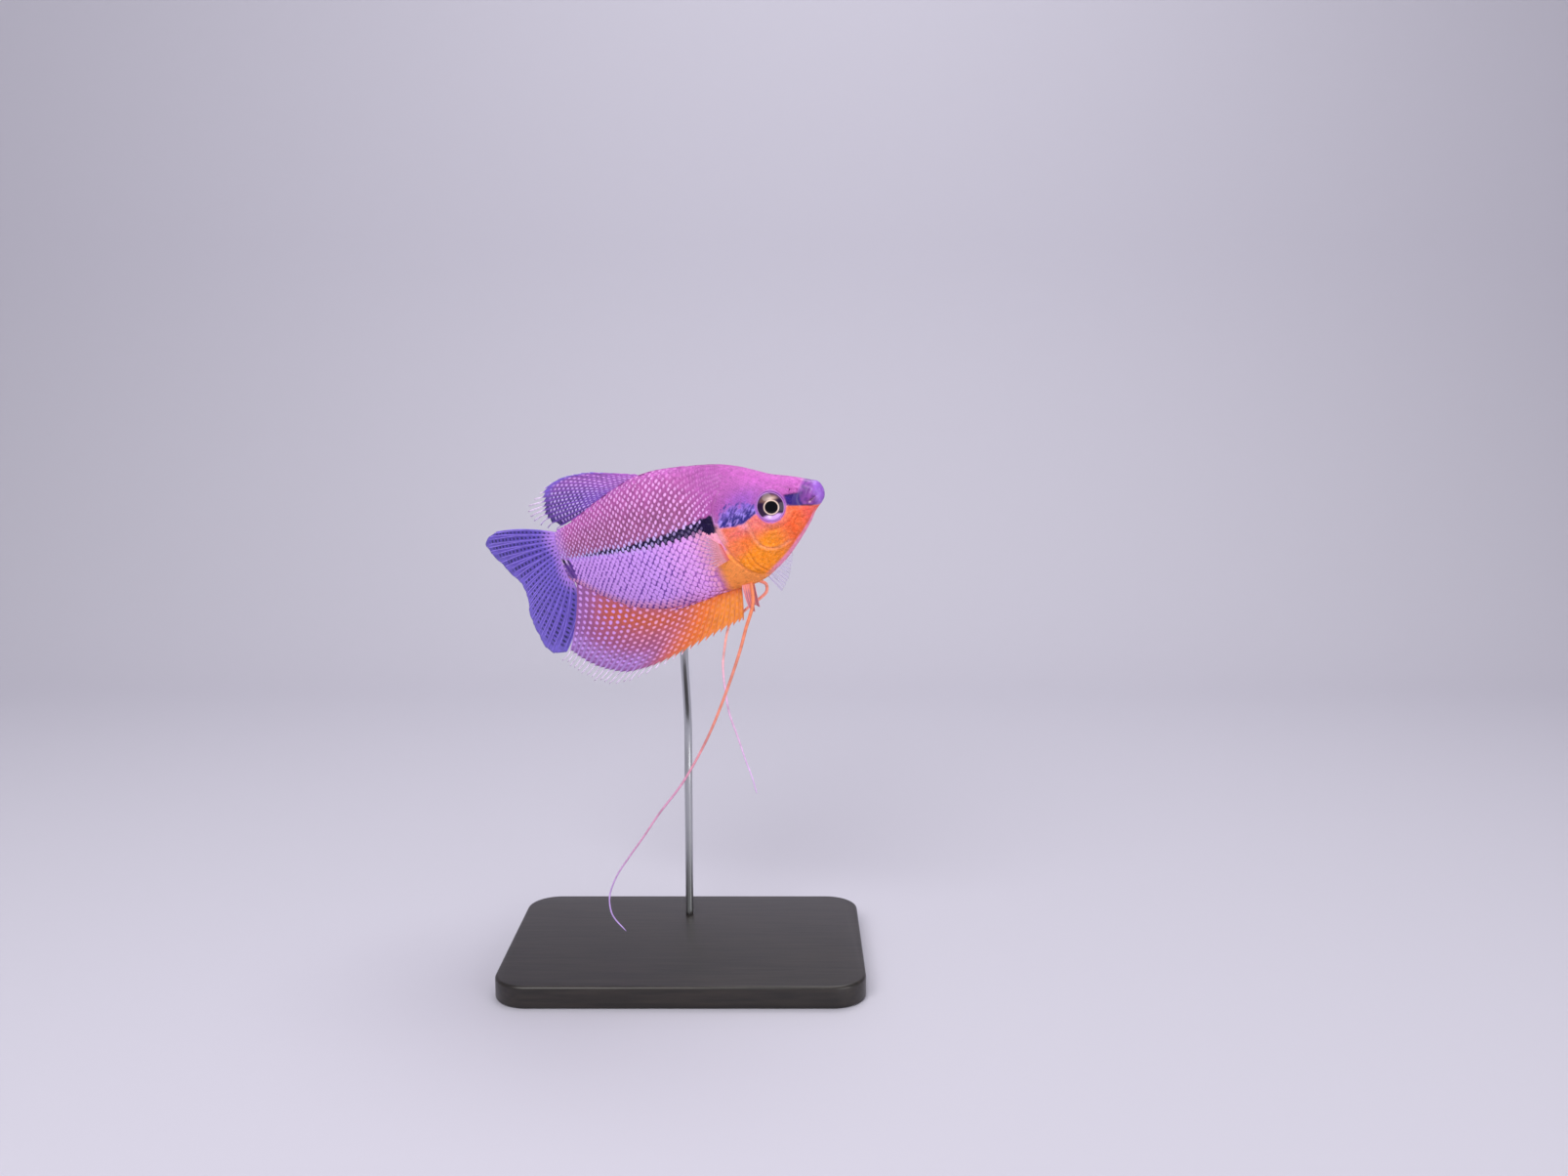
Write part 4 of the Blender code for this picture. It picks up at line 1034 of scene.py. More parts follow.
# %% Pearly scale material
def scale_material():
    made, tree = material("pearly scales")
    place = add(tree, "ShaderNodeTexCoord").outputs["Object"]
    at, pearl = (add(tree, "ShaderNodeSeparateXYZ", {0: stored(tree, name, "Vector")}).outputs
                 for name in ("spot", "pearl"))
    squares = []
    for axis in ("X", "Y"):
        share = maths(tree, "ABSOLUTE", maths(tree, "DIVIDE", at[axis], pearl[axis]))
        squares.append(maths(tree, "POWER", share, 1.9))
    ragged = ranged(tree, clouds(tree, place, 0.9 * MM), 0.3, 0.7, -0.30, 0.30)
    edge = maths(tree, "ADD", maths(tree, "ADD", *squares), ragged)
    mask = ranged(tree, edge, 0.45, 1.35, 1.0, 0.0, soft=True)
    mask = maths(tree, "MULTIPLY", mask, pearl["Z"])
    cloud = clouds(tree, place, 1.1 * MM, 3.0, 0.65)
    field = mottled(tree, stored(tree, "paint"), cloud, 0.84, 1.14)
    surface(tree, mixed(tree, mask, field, stored(tree, "shine")),
            ranged(tree, mask, 0.0, 1.0, 0.46, 0.30), Normal=relief(tree, mask, 0.3, 0.05),
            IOR=1.4, Specular_IOR_Level=0.2, Coat_Weight=0.12, Coat_Roughness=0.15)
    return made


SCALE_FINISH = scale_material()
print("scale finish", len(SCALE_FINISH.node_tree.nodes), "nodes")

# %% Size and colour of the pearls
def pearl_of(points, seed):
    """Half length, half height and strength of the pearl of a scale rooted at each point."""
    place, height = shares(points)
    chance = np.random.default_rng(seed).random((len(points), 3))
    drop, half = STRIPE_HEIGHT(place) - height, STRIPE_HALF(place)
    away, below = np.abs(drop), ease(drop, -0.002, 0.022)
    nape = ease(place - 0.15 * ease(height / back(place), 0.3, 1.0), 0.28, 0.40)
    edge = hill(away, half, 0.009) * ease(place, 0.33, 0.40)
    long = 0.36 + 0.10 * chance[:, 0] + below * 0.36 + 0.08 * edge
    tall = 0.48 + 0.14 * chance[:, 1] + below * 0.54 + 0.20 * edge
    strength = (0.80 + 0.20 * chance[:, 2]) * (0.15 + 0.85 * nape)
    strength = np.maximum(strength, below * 0.92)
    strength *= 1 - 0.8 * ease(away, 0.7 * half, 0.35 * half) * ease(place, 0.62, 0.52)
    blot = ease(place, 0.345, 0.352) * ease(place, 0.388, 0.380) * ease(away, 0.030, 0.026)
    marks = ease(np.abs(place - 0.972), 0.026, 0.020) * ease(np.abs(height + 0.043), 0.044, 0.036)
    shrink = ROW_STEP(place) / 1.1
    strength = np.clip(strength * (1 - blot) * (1 - marks), 0, 1)
    return np.stack([long * shrink, tall * shrink, strength], axis=1)


def pearl_colour(points):
    place, height = shares(points)
    drop = STRIPE_HEIGHT(place) - height
    below, rim = ease(drop, 0.0, 0.02), ease(height - belly(place), 0.05, 0.01)
    breast = ease(place, 0.42, 0.36) * ease(height + 0.35 * (place - 0.30), -0.055, -0.10)
    return over(
        spread("EFB6EE", place),
        ("CCC2FF", hill(drop, 0, 0.028)),
        ("DCAAFF", below),
        ("F2B2FC", below * ease(place, 0.62, 0.45)),
        ("F8AEC6", below * ease(place, 0.46, 0.38)),
        ("E8A0C0", rim * ease(place, 0.45, 0.6) * 0.8),
        ("FFA458", breast),
    )


def field_colour(points, colours):
    """The violet lines that are left between the pearls below the stripe."""
    place, height = shares(points)
    below = ease(STRIPE_HEIGHT(place) - height, 0.012, 0.03)
    return over(
        colours, ("63369A", below * ease(place, 0.40, 0.55) * 0.85),
        ("A05CB4", below * ease(place, 0.55, 0.45) * ease(place, 0.37, 0.42) * 0.7))


print("a pearl of the flank", np.round(pearl_of(np.array([(50.0, 3.0, -10.0)]), 1)[0], 2))

# %% Coats of scales
def lay_coat(name, side, values, shape, pearls, tilt):
    """One side's scales, laid, painted and given their bake map."""
    at, lie, out, size = (values[:, k] for k in range(4))
    coat = mesh_object(name, at, [])
    chance = np.random.default_rng(31 + side).normal(0, 1, (len(at), 3)).clip(-2, 2)
    for key, value in (("lie", lie), ("out", out), ("size", size), ("pearl", pearls),
                       ("root", at), ("chance", chance)):
        write(coat.data, key, value)
    run_tree(coat, LAY_SCALES, Scale_Shape=shape, Tilt=tilt, Unevenness=0.35 * tilt, Seed=5,
             Finish=SCALE_FINISH)
    mesh = coat.data
    root, on_scale, size = (read(mesh, key).astype(float) for key in ("root", "on_scale", "size"))
    chance = read(mesh, "chance")
    colours = paint(points_of(mesh))
    colours[:, :3] *= 1 + 0.06 * chance[:, :1]
    write(mesh, "paint", field_colour(root, colours))
    write(mesh, "shine", pearl_colour(root))
    behind = (on_scale[:, 0] - 0.24 + 0.06 * chance[:, 1]) * size[:, 0]
    up = (on_scale[:, 1] + 0.04 * chance[:, 2]) * size[:, 1]
    write(mesh, "spot", np.stack([behind - 0.22 * up, up, 0 * up], axis=1))
    bake_map(coat, unwrap(root) + on_scale[:, :2] * 0.003)
    return coat


for side, word in SIDES:
    seats = roots[side]
    put(lay_coat("scales_" + word, side, seats, body_scale, pearl_of(seats[:, 0], 11 + side), 0.034),
        slot="trunk_skin")
    seats = face_roots[side]
    none = np.tile((0.3, 0.3, 0.0), (len(seats), 1))
    put(lay_coat("face_scales_" + word, side, seats, face_scale, none, 0.022), slot="head_skin")
for shape in (body_scale, face_scale):
    bpy.data.objects.remove(shape)

# %% [markdown]
# ## Thin sheets and round strands
#
# A fin is a skin stretched over rays like cloth over the ribs of an umbrella. The membrane is
# a closed sheet two tenths of a millimetre thick, and every ray is a round strand that tapers
# to its tip. Both keep their own coordinates: the number of the ray, and the way along it.

# %% Sheets and strands
EDGE = 0.8
RAY_STEPS, RAY_SIDES = 30, 6


def unit(vectors):
    return vectors / np.maximum(np.linalg.norm(vectors, axis=-1, keepdims=True), 1e-9)


def sheet(name, grid, half):
    """A closed thin sheet about a grid of middle points, with its bake map."""
    def quads(*corners):
        return np.stack(corners, axis=-1).reshape(-1, 4)

    across, along = np.gradient(grid, axis=0), np.gradient(grid, axis=1)
    lift = unit(np.cross(across, along)) * half[..., None]
    rows, steps = grid.shape[:2]
    top = np.arange(rows * steps).reshape(rows, steps)
    low = top + rows * steps
    faces = np.vstack([
        quads(top[:-1, :-1], top[1:, :-1], top[1:, 1:], top[:-1, 1:]),
        quads(low[:-1, :-1], low[:-1, 1:], low[1:, 1:], low[1:, :-1]),
        quads(top[:-1, 0], low[:-1, 0], low[1:, 0], top[1:, 0]),
        quads(top[:-1, -1], top[1:, -1], low[1:, -1], low[:-1, -1]),
        quads(top[0, :-1], top[0, 1:], low[0, 1:], low[0, :-1]),
        quads(top[-1, :-1], low[-1, :-1], low[-1, 1:], top[-1, 1:]),
    ])
    points = np.vstack([(grid + lift).reshape(-1, 3), (grid - lift).reshape(-1, 3)])
    obj = mesh_object(name, points, faces.tolist())
    u, v = np.meshgrid(np.linspace(0.01, 0.99, rows), np.linspace(0.01, 0.49, steps), indexing="ij")
    flat = np.stack([u, v], axis=-1).reshape(-1, 2)
    bake_map(obj, np.vstack([flat, flat + (0, 0.5)]))
    return obj


print("a strand has", RAY_SIDES, "sides")

# %% Strands and rays
def strands(name, paths, radii, sides=RAY_SIDES):
    """Closed round strands along rows of points, with their bake map."""
    count, steps = radii.shape
    way = unit(np.gradient(paths, axis=1))
    across = unit(np.cross(way, (0, 1, 0)))
    other = np.cross(way, across)
    angle = (math.tau * np.arange(sides) / sides)[:, None]
    ring = across[:, :, None] * np.cos(angle) + other[:, :, None] * np.sin(angle)
    points = paths[:, :, None] + ring * radii[:, :, None, None]
    index = np.arange(points.size // 3).reshape(count, steps, sides)
    after = np.roll(index, -1, axis=2)
    quads = np.stack([index[:, :-1], after[:, :-1], after[:, 1:], index[:, 1:]], -1).reshape(-1, 4)
    caps = [row[0][::-1].tolist() for row in index] + [row[-1].tolist() for row in index]
    obj = mesh_object(name, points.reshape(-1, 3), quads.tolist() + caps)
    i, k, j = np.meshgrid(np.arange(count), np.arange(steps - 1), np.arange(sides), indexing="ij")
    u = np.stack([i + j / sides, i + (j + 1) / sides, i + (j + 1) / sides, i + j / sides], -1)
    v = np.stack([k, k, k + 1, k + 1], -1) / (steps - 1)
    ends = np.repeat([(x + 0.5, y) for y in (0, 1) for x in range(count)], sides, axis=0)
    values = np.vstack([np.stack([u.ravel(), v.ravel()], axis=-1), ends])
    bake_map(obj, values * (0.98 / count, 0.98) + 0.01)
    return obj


def bent(root, middle, tip, v):
    """Points along rays that leave their roots towards the middle points."""
    v = v[..., None]
    return root * (1 - v) ** 2 + middle * 2 * v * (1 - v) + tip * v * v


def swept(root, middle, edge, tip, v):
    """Points along rays that reach the sheet's edge and go on as threads."""
    past = (v - EDGE) / (1 - EDGE)
    size = np.linalg.norm(tip - edge, axis=-1, keepdims=True)
    thread = bent(edge, edge + unit(edge - middle) * size * 0.4, tip, past)
    return np.where(past[..., None] > 0, thread, bent(root, middle, edge, np.minimum(v / EDGE, 1)))


def tips(table):
    places = through([(u, s) for u, s, z in table])
    heights = through([(u, z) for u, s, z in table])
    return lambda u: (places(u) * LENGTH, heights(u) * LENGTH)


def triple(s, r, z):
    return np.stack(np.broadcast_arrays(s, r, z), axis=-1)


print("a thread starts at", EDGE, "of its ray")

# %% [markdown]
# ## Painted membrane
#
# The fins carry the body's pearls on, as pale ovals along the rays. The tail has the same
# pattern turned round: dark spots between the rays. So one material serves all the fins: the
# lattice is laid over the ray number and the distance along the ray, and each piece brings
# its own colours. Fine streaks run along the rays, as the real fibres do.

# %% Fin material
def stretched(tree, way, *scale):
    return add(tree, "ShaderNodeMapping", {"Vector": way, "Scale": scale})


def fin_material(name, shift, step, half_across, half_along, softness, clear=False):
    made, tree = material(name)
    way = stored(tree, "fin", "Vector")
    split = add(tree, "ShaderNodeSeparateXYZ", {0: way}).outputs
    slide = ranged(tree, clouds(tree, stretched(tree, way, 0.9, 0.8, 1.0), 1.0),
                   0.0, 1.0, -0.35, 0.35)
    lattice = add(tree, "ShaderNodeGroup", {
        "Across": maths(tree, "ADD", split["X"], shift),
        "Along": maths(tree, "ADD", maths(tree, "DIVIDE", split["Y"], step), slide),
        "Half Across": half_across, "Half Along": half_along, "Softness": softness,
    }, node_tree=PEARL_LATTICE)
    mask = maths(tree, "MULTIPLY", lattice, stored(tree, "strength", "Fac"))
    streak = clouds(tree, stretched(tree, way, 6.0, 0.35, 1.0), 1.0, 3.0, 0.6)
    field = mottled(tree, stored(tree, "paint"), streak, 0.78, 1.20)
    surface(tree, mixed(tree, mask, field, stored(tree, "shine")), 0.42,
            Normal=relief(tree, streak, 0.2, 0.1), IOR=1.4, Coat_Weight=0.2,
            Coat_Roughness=0.15, Alpha=stored(tree, "solid", "Fac") if clear else 1.0)
    return made


print("fin finishes share", PEARL_LATTICE.name)

# %% Membranes and rays
def dress(obj, finish, again, way, paint, shine, strength):
    """Keeps a fin's coordinates and colours on its points, and gives it its finish."""
    for name, value in (("fin", way), ("paint", paint), ("shine", shine), ("strength", strength)):
        flat = value.reshape(-1, value.shape[-1]) if value.ndim == 3 else value.ravel()
        write(obj.data, name, again(flat))
    obj.data.materials.append(finish)
    return obj


def membrane(name, ray, rays, margin, tooth, tints, finish, wave=0.12, rows=44):
    """The sheet of a fin. tints(u, share, distance) gives paint, shine and strength.

    Behind the tip of each ray the edge steps back by a tooth and slopes down to the next tip.
    """
    u = np.linspace(0, 1, (rays - 1) * 6 + 1)
    number = u * (rays - 1)
    rest = np.abs(number - np.round(number)) > 0.01
    dip = rest * (1 - number % 1) ** 0.8
    edge = (margin(u) * (1 - tooth(u) * dip))[:, None]
    share = np.linspace(0, 1, rows + 1) + 0 * edge
    u, number = u[:, None] + 0 * share, number[:, None] + 0 * share
    grid = ray(u, edge * share)
    normal = unit(np.cross(np.gradient(grid, axis=0), np.gradient(grid, axis=1)))
    grid = grid + normal * (wave * np.sin(math.pi * number) * share)[..., None]
    distance = walked(grid)
    return dress(sheet(name, grid, 0.06 + 0.10 * (1 - share) ** 2), finish,
                 lambda flat: np.concatenate([flat, flat]), triple(number, distance, share),
                 *tints(u, share, distance))


def fin_rays(name, ray, rays, reach, thick, tints, finish, fork=None, taper=0.72):
    """The rays of a fin. A fork share splits each ray in two from there on."""
    u = np.linspace(0, 1, rays)[:, None]
    v = np.linspace(0, 1, RAY_STEPS) * reach(u) + 0 * u
    if fork:
        away = (0.03 + 0.20 * ease(v, fork, 0.9)) / (rays - 1)
        u, v = np.clip(np.vstack([u - away, u + away]), 0, 1), np.vstack([v, v])
    u = u + 0 * v
    paths = ray(u, v)
    obj = strands(name, paths, thick * (1 - taper * v ** 0.8))
    distance = walked(paths)
    return dress(obj, finish, lambda flat: np.repeat(flat, RAY_SIDES, axis=0),
                 triple(u * (rays - 1), distance, v), *tints(u, v, distance))


print("a ray has", RAY_STEPS, "steps")

# %% [markdown]
# ## The dorsal fin
#
# A short fin far back on the body. Its rear rays run on past the membrane as short white
# threads that sweep back, so a ray here is a curve to the edge and a thread beyond it.

# %% Dorsal fin
SINK = 0.5
DORSAL_EDGE = tips((
    (0.0, 0.618, 0.214), (0.12, 0.70, 0.238), (0.26, 0.80, 0.260), (0.38, 0.875, 0.262),
    (0.48, 0.948, 0.250), (0.56, 0.992, 0.232), (0.62, 1.006, 0.214), (0.68, 1.014, 0.196),
    (0.74, 1.022, 0.178), (0.80, 1.030, 0.162), (0.85, 1.032, 0.147), (0.90, 1.025, 0.132),
    (0.95, 1.008, 0.114), (1.0, 0.975, 0.099),
))
DORSAL_TIPS = tips((
    (0.0, 0.625, 0.221), (0.12, 0.707, 0.244), (0.26, 0.81, 0.266), (0.38, 0.888, 0.267),
    (0.48, 0.955, 0.251), (0.56, 1.005, 0.231), (0.62, 1.050, 0.213), (0.68, 1.090, 0.193),
    (0.74, 1.109, 0.170), (0.80, 1.106, 0.149), (0.85, 1.096, 0.132), (0.90, 1.070, 0.114),
    (0.95, 1.042, 0.099), (1.0, 1.002, 0.088),
))


def dorsal_ray(u, v):
    place = 0.588 + 0.182 * u
    root = triple(place * LENGTH, 0.0, back(place) * LENGTH - SINK)
    (s, z), (tip_s, tip_z) = DORSAL_EDGE(u), DORSAL_TIPS(u)
    edge = triple(s + 2.4 * u * u, -3.2 * u * u, z)
    tip = triple(tip_s + 3.0 * u * u, -4.0 * u * u, tip_z)
    middle = (root + edge) / 2 + triple(-1.0, 0.6 * u, 1.8 * u + 0.5 - 2.6 * u ** 4)
    return swept(root, middle, edge, tip, v)


def dorsal_tints(u, share, distance):
    between = np.abs(np.sin(math.pi * u * (DORSAL_RAYS - 1)))
    colours = over(
        spread("A062B8", u),
        ("BE6AC4", ease(u, 0.30, 0.05)),
        ("7C54BE", ease(u, 0.35, 0.80) * 0.9),
        ("281A66", between * ease(u, 0.40, 0.72) * ease(share, 0.20, 0.45) * 0.9),
        ("8468D6", ease(share, 0.84, 0.94) * ease(u, 0.75, 0.55)),
    )
    shine = over(spread("E6B0F4", u), ("D4BCFC", ease(u, 0.3, 0.7)))
    return colours, shine, ease(share, 0.97, 0.86) * (0.75 + 0.25 * ease(share, 0.05, 0.2))


def ray_tints(tints, code, amount):
    """The colours of a fin's rays: those of its membrane, lighter, and white past its edge."""
    def tinted(u, share, distance):
        colours, shine, strength = tints(u, share / EDGE, distance)
        past = ease(share, EDGE - 0.04, EDGE + 0.03)
        colours = over(colours, (code, np.full(u.shape, amount)), ("F6ECFE", past))
        return colours, shine, strength * (1 - past)
    return tinted


DORSAL_RAYS, DORSAL_THREAD = 20, through(((0, 0.81), (0.4, 0.84), (0.56, 0.94), (0.7, 1), (1, 1)))
DORSAL_FINISH = fin_material("dorsal membrane with pearls", 0.5, 1.65, 0.29, 0.27, 0.4)
put(membrane("dorsal_membrane", dorsal_ray, DORSAL_RAYS, even(EDGE),
             lambda u: 0.02 + 0.05 * ease(u, 0.4, 0.7), dorsal_tints, DORSAL_FINISH),
    "dorsal_fin", slot="dorsal_membrane")
put(fin_rays("dorsal_rays", dorsal_ray, DORSAL_RAYS, DORSAL_THREAD, 0.24,
             ray_tints(dorsal_tints, "8058BC", 0.25), DORSAL_FINISH, taper=0.15),
    slot="dorsal_membrane")

# %% [markdown]
# ## The anal fin
#
# A male's anal fin runs from the breast to the tail. It is orange in front, rosy with pearls
# in the middle, and its rear rays hang free as long white threads.

# %% Anal fin
ANAL_EDGE = tips((
    (0.0, 0.384, -0.338), (0.08, 0.468, -0.358), (0.184, 0.580, -0.389), (0.30, 0.700, -0.418),
    (0.40, 0.790, -0.432), (0.50, 0.873, -0.438), (0.60, 0.940, -0.426), (0.70, 0.992, -0.410),
    (0.80, 1.040, -0.386), (0.90, 1.075, -0.358), (1.0, 1.097, -0.331),
))
ANAL_TIPS = tips((
    (0.0, 0.384, -0.352), (0.08, 0.472, -0.369), (0.184, 0.590, -0.402), (0.30, 0.722, -0.434),
    (0.40, 0.834, -0.459), (0.50, 0.935, -0.474), (0.60, 1.012, -0.465), (0.70, 1.054, -0.446),
    (0.80, 1.096, -0.418), (0.90, 1.128, -0.393), (1.0, 1.156, -0.364),
))
ANAL_RAYS = 30


def anal_ray(number, v):
    u = number ** 1.25
    place = 0.357 + 0.616 * u
    root = triple(place * LENGTH, 0.0, belly(place) * LENGTH + SINK)
    away = 0.8 * np.sin(5.0 * u + 0.5) + 2.6 * u * u
    (s, z), (tip_s, tip_z) = ANAL_EDGE(u), ANAL_TIPS(u)
    edge, tip = triple(s, 0.8 * away, z), triple(tip_s, away, tip_z)
    way = edge - root
    middle = root + triple((0.40 - 0.12 * u) * way[..., 0], 0.35 * away, 0.53 * way[..., 2])
    return swept(root, middle, edge, tip, v)


def anal_tints(number, share, distance):
    u = number ** 1.25
    streaks = (0.5 + 0.5 * np.cos(2 * math.pi * number * (ANAL_RAYS - 1))) ** 2
    colours = over(
        spread("A8587E", u),
        ("E8741C", ease(u, 0.46, 0.20)),
        ("F0962C", ease(u, 0.24, 0.06) * ease(share, 0.05, 0.3) * 0.8),
        ("C85C2C", hill(share, 0.20, 0.20) * ease(u, 0.2, 0.4) * ease(u, 1.0, 0.75) * 0.9),
        ("8E5AA0", ease(share, 0.50, 0.95) * ease(u, 0.28, 0.55) * 0.9),
        ("8A5CA8", ease(u, 0.80, 1.0) * 0.7),
        ("C8AAF4", streaks * ease(share, 0.60, 0.90) * ease(u, 0.35, 0.50) * 0.8),
        ("E89468", ease(share, 0.90, 0.98) * ease(u, 0.34, 0.18) * 0.6),
    )
    shine = over(
        spread("ECA4C0", u),
        ("D8A2F0", ease(u, 0.5, 0.8)),
        ("D0A4F4", ease(share, 0.45, 0.85) * ease(u, 0.3, 0.5)),
        ("F4AC7C", ease(u, 0.36, 0.15)),
    )
    return colours, shine, ease(share, 0.99, 0.86) * (0.25 + 0.75 * ease(u, 0.10, 0.35))


ANAL_FINISH = fin_material("anal membrane with pearls", 0.5, 1.8, 0.27, 0.26, 0.35)
put(membrane("anal_membrane", anal_ray, ANAL_RAYS, even(EDGE),
             lambda u: 0.03 + 0.10 * ease(u, 0.50, 0.25), anal_tints, ANAL_FINISH, rows=40),
    "anal_fin", slot="anal_membrane")
THREADS = 0.8 + 0.2 * np.random.default_rng(3).random(ANAL_RAYS)


def anal_reach(u):
    thread = THREADS[np.round(u * (ANAL_RAYS - 1)).astype(int)]
    return EDGE + (1 - EDGE) * ease(u, 0.2, 0.45) * thread


put(fin_rays("anal_rays", anal_ray, ANAL_RAYS, anal_reach, 0.22,
             ray_tints(anal_tints, "B87894", 0.15), ANAL_FINISH, taper=0.2),
    slot="anal_membrane")

# %% [markdown]
# ## The tail fin
#
# A broad, slightly forked tail. Its rays split once, and dark spots lie between them.

# %% Tail fin
TAIL_TIPS = tips((
    (0.0, 1.330, 0.125), (0.05, 1.395, 0.110), (0.10, 1.427, 0.084), (0.16, 1.408, 0.055),
    (0.25, 1.352, 0.003), (0.34, 1.300, -0.048), (0.42, 1.264, -0.086), (0.52, 1.264, -0.135),
    (0.62, 1.290, -0.185), (0.72, 1.300, -0.237), (0.82, 1.300, -0.294), (0.90, 1.292, -0.340),
    (0.96, 1.252, -0.362), (1.0, 1.195, -0.360),
))


def tail_ray(u, v):
    top, bottom = float(back(1.0)) * LENGTH - 0.4, float(belly(1.0)) * LENGTH + 0.4
    root = triple(LENGTH - SINK, 0.0, top + (bottom - top) * u)
    s, z = TAIL_TIPS(u)
    tip = triple(s, 1.5 * np.sin(math.pi * u) - 2.0 * u, z)
    low, high = u ** 6, 1.5 * (1 - u) ** 6
    shift = triple(2.0 * u - 9.0 * low, 0.4 - 2.2 * low, 1.6 * (0.5 - u) + 0.8 * low + high)
    return bent(root, root + (tip - root) * 0.45 + shift, tip, v)


def tail_tints(u, share, distance):
    between = np.abs(np.sin(math.pi * u * (TAIL_RAYS - 1))) ** 1.5
    colours = over(
        spread("6A56C4", u),
        ("7868D2", ease(share, 0.8, 0.97)),
        ("4434A0", between * ease(u, 0.42, 0.25) * ease(share, 0.22, 0.45) * 0.5),
        ("C090F0", ease(share, 0.26, 0.04)),
    )
    return colours, spread("1E0E5E", u), ease(share, 0.05, 0.12) * ease(share, 0.97, 0.88)


def tail_ray_tints(u, share, distance):
    colours = over(spread("8674DE", u), ("9C8AEE", ease(share, 0.4, 0.9)),
                   ("C498F0", ease(share, 0.26, 0.04)))
    return colours, spread("8C76E6", u), 0 * u


TAIL_RAYS = 19
TAIL_FINISH = fin_material("tail membrane with dark spots", 0.5, 1.8, 0.19, 0.25, 0.4)
RAY_FINISH = fin_material("pale fin rays", 0.0, 1.75, 0.3, 0.3, 0.4)
put(membrane("tail_membrane", tail_ray, TAIL_RAYS, even(0.965), even(0.012), tail_tints,
             TAIL_FINISH, rows=60), "tail_fin", slot="tail_membrane")
put(fin_rays("tail_rays", tail_ray, TAIL_RAYS, even(0.957), 0.28, tail_ray_tints, RAY_FINISH,
             fork=0.32, taper=0.5), slot="tail_membrane")

# %% [markdown]
# ## The pectoral fins
#
# Clear fans that a fish paddles with. Only their rays show, whitish, on a red-orange root.

# %% Pectoral fins
def pectoral_ray(side, aim, spread, length):
    aim, spread = unit(np.array(aim)), unit(np.array(spread))
    out = unit(np.cross(aim, spread))

    def ray(u, v):
        z = (-0.068 - 0.052 * u) * LENGTH
        place = 0.350 - 0.008 * u
        root = triple(place * LENGTH, side * (side_at(place, z) - 0.1), z)
        turn = math.radians(32.0) * (1 - 2 * u)[..., None]
        reach = length * (0.80 + 0.20 * np.sin(math.pi * (0.12 + 0.75 * u)))
        tip = root + (aim * np.cos(turn) + spread * np.sin(turn)) * reach[..., None]
        return bent(root, (root + tip) / 2 + out * 0.9, tip, v)

    return ray


def pectoral_tints(u, share, distance):
    colours = over(spread("DCD2F8", u), ("F8B4BC", ease(distance, 5.0, 2.2)),
                   ("E8583A", ease(distance, 1.0, 0.4) * 0.8))
    return colours, spread("FFFFFF", u), 0 * u


def fade(obj, root, rest, length):
    """How solid a clear piece is: from its root to the rest over a length in mm."""
    distance = read(obj.data, "fin")[:, 1]
    write(obj.data, "solid", rest + (root - rest) * ease(distance, length, 0.0))
    return obj


CLEAR_FINISH = fin_material("clear pectoral fin", 0.0, 1.0, 0.3, 0.3, 0.4, clear=True)
for (side, word), aim, away, length, rest in (
    (SIDES[0], (0.86, 0.42, 0.32), (-0.30, 0.10, 1.0), 21.0, 0.03),
    (SIDES[1], (-0.42, -0.80, -0.42), (-0.30, -0.10, 0.90), 22.0, 0.85),
):
    ray = pectoral_ray(side, aim, away, length)
    web = membrane("pectoral_membrane_" + word, ray, 12, even(0.95), even(0.02),
                   pectoral_tints, CLEAR_FINISH, wave=0.08, rows=30)
    put(fade(web, 0.6, 0.16 * rest, 4.5), "pectoral_fin_" + word, slot="pectoral_membrane")
    ribs = fin_rays("pectoral_rays_" + word, ray, 12, even(0.95), 0.15, pectoral_tints,
                    CLEAR_FINISH, fork=0.4)
    put(fade(ribs, 1.0, rest, 5.5), slot="pectoral_membrane")

# %% [markdown]
# ## The feelers
#
# Each pelvic fin is one long ray that the fish feels and tastes with, and a small web behind
# its root. The routes are kept in millimetres from the snout, as they hang over the base.

# %% Pelvic fins
NEAR_FEELER = (
    (-18.3, 4.9, -29.2), (-20.1, 4.7, -35.5), (-21.9, 4.9, -42.2), (-25.5, 5.8, -53.0),
    (-30.5, 7.0, -65.4), (-36.9, 8.3, -77.3), (-43.4, 9.3, -86.2), (-47.7, 10.0, -92.8),
    (-52.0, 10.5, -99.0), (-55.2, 10.8, -104.0), (-57.2, 11.0, -109.1), (-57.3, 11.0, -112.9),
    (-56.2, 10.8, -116.0), (-53.0, 10.5, -119.6),
)
FAR_FEELER = (
    (-16.1, 8.6, -23.9), (-14.9, 9.2, -24.7), (-14.8, 9.6, -26.6), (-16.2, 9.9, -28.2),
    (-18.6, 10.3, -30.1), (-21.3, 11.3, -32.6), (-24.7, 12.5, -36.1), (-26.2, 13.0, -43.7),
    (-26.4, 12.5, -48.4), (-25.7, 11.5, -54.2), (-24.7, 11.0, -59.7), (-22.4, 10.5, -66.2),
    (-20.4, 10.0, -72.2), (-18.8, 9.5, -76.3), (-17.5, 9.0, -80.8),
)


def skin_height(place, r, edge):
    """The height of the plain body at a distance r from the middle, towards back or belly."""
    heights = np.linspace(0.0, float(edge(place)) * LENGTH, 400)
    return float(heights[np.argmax(side_at(place, heights) < abs(r))])


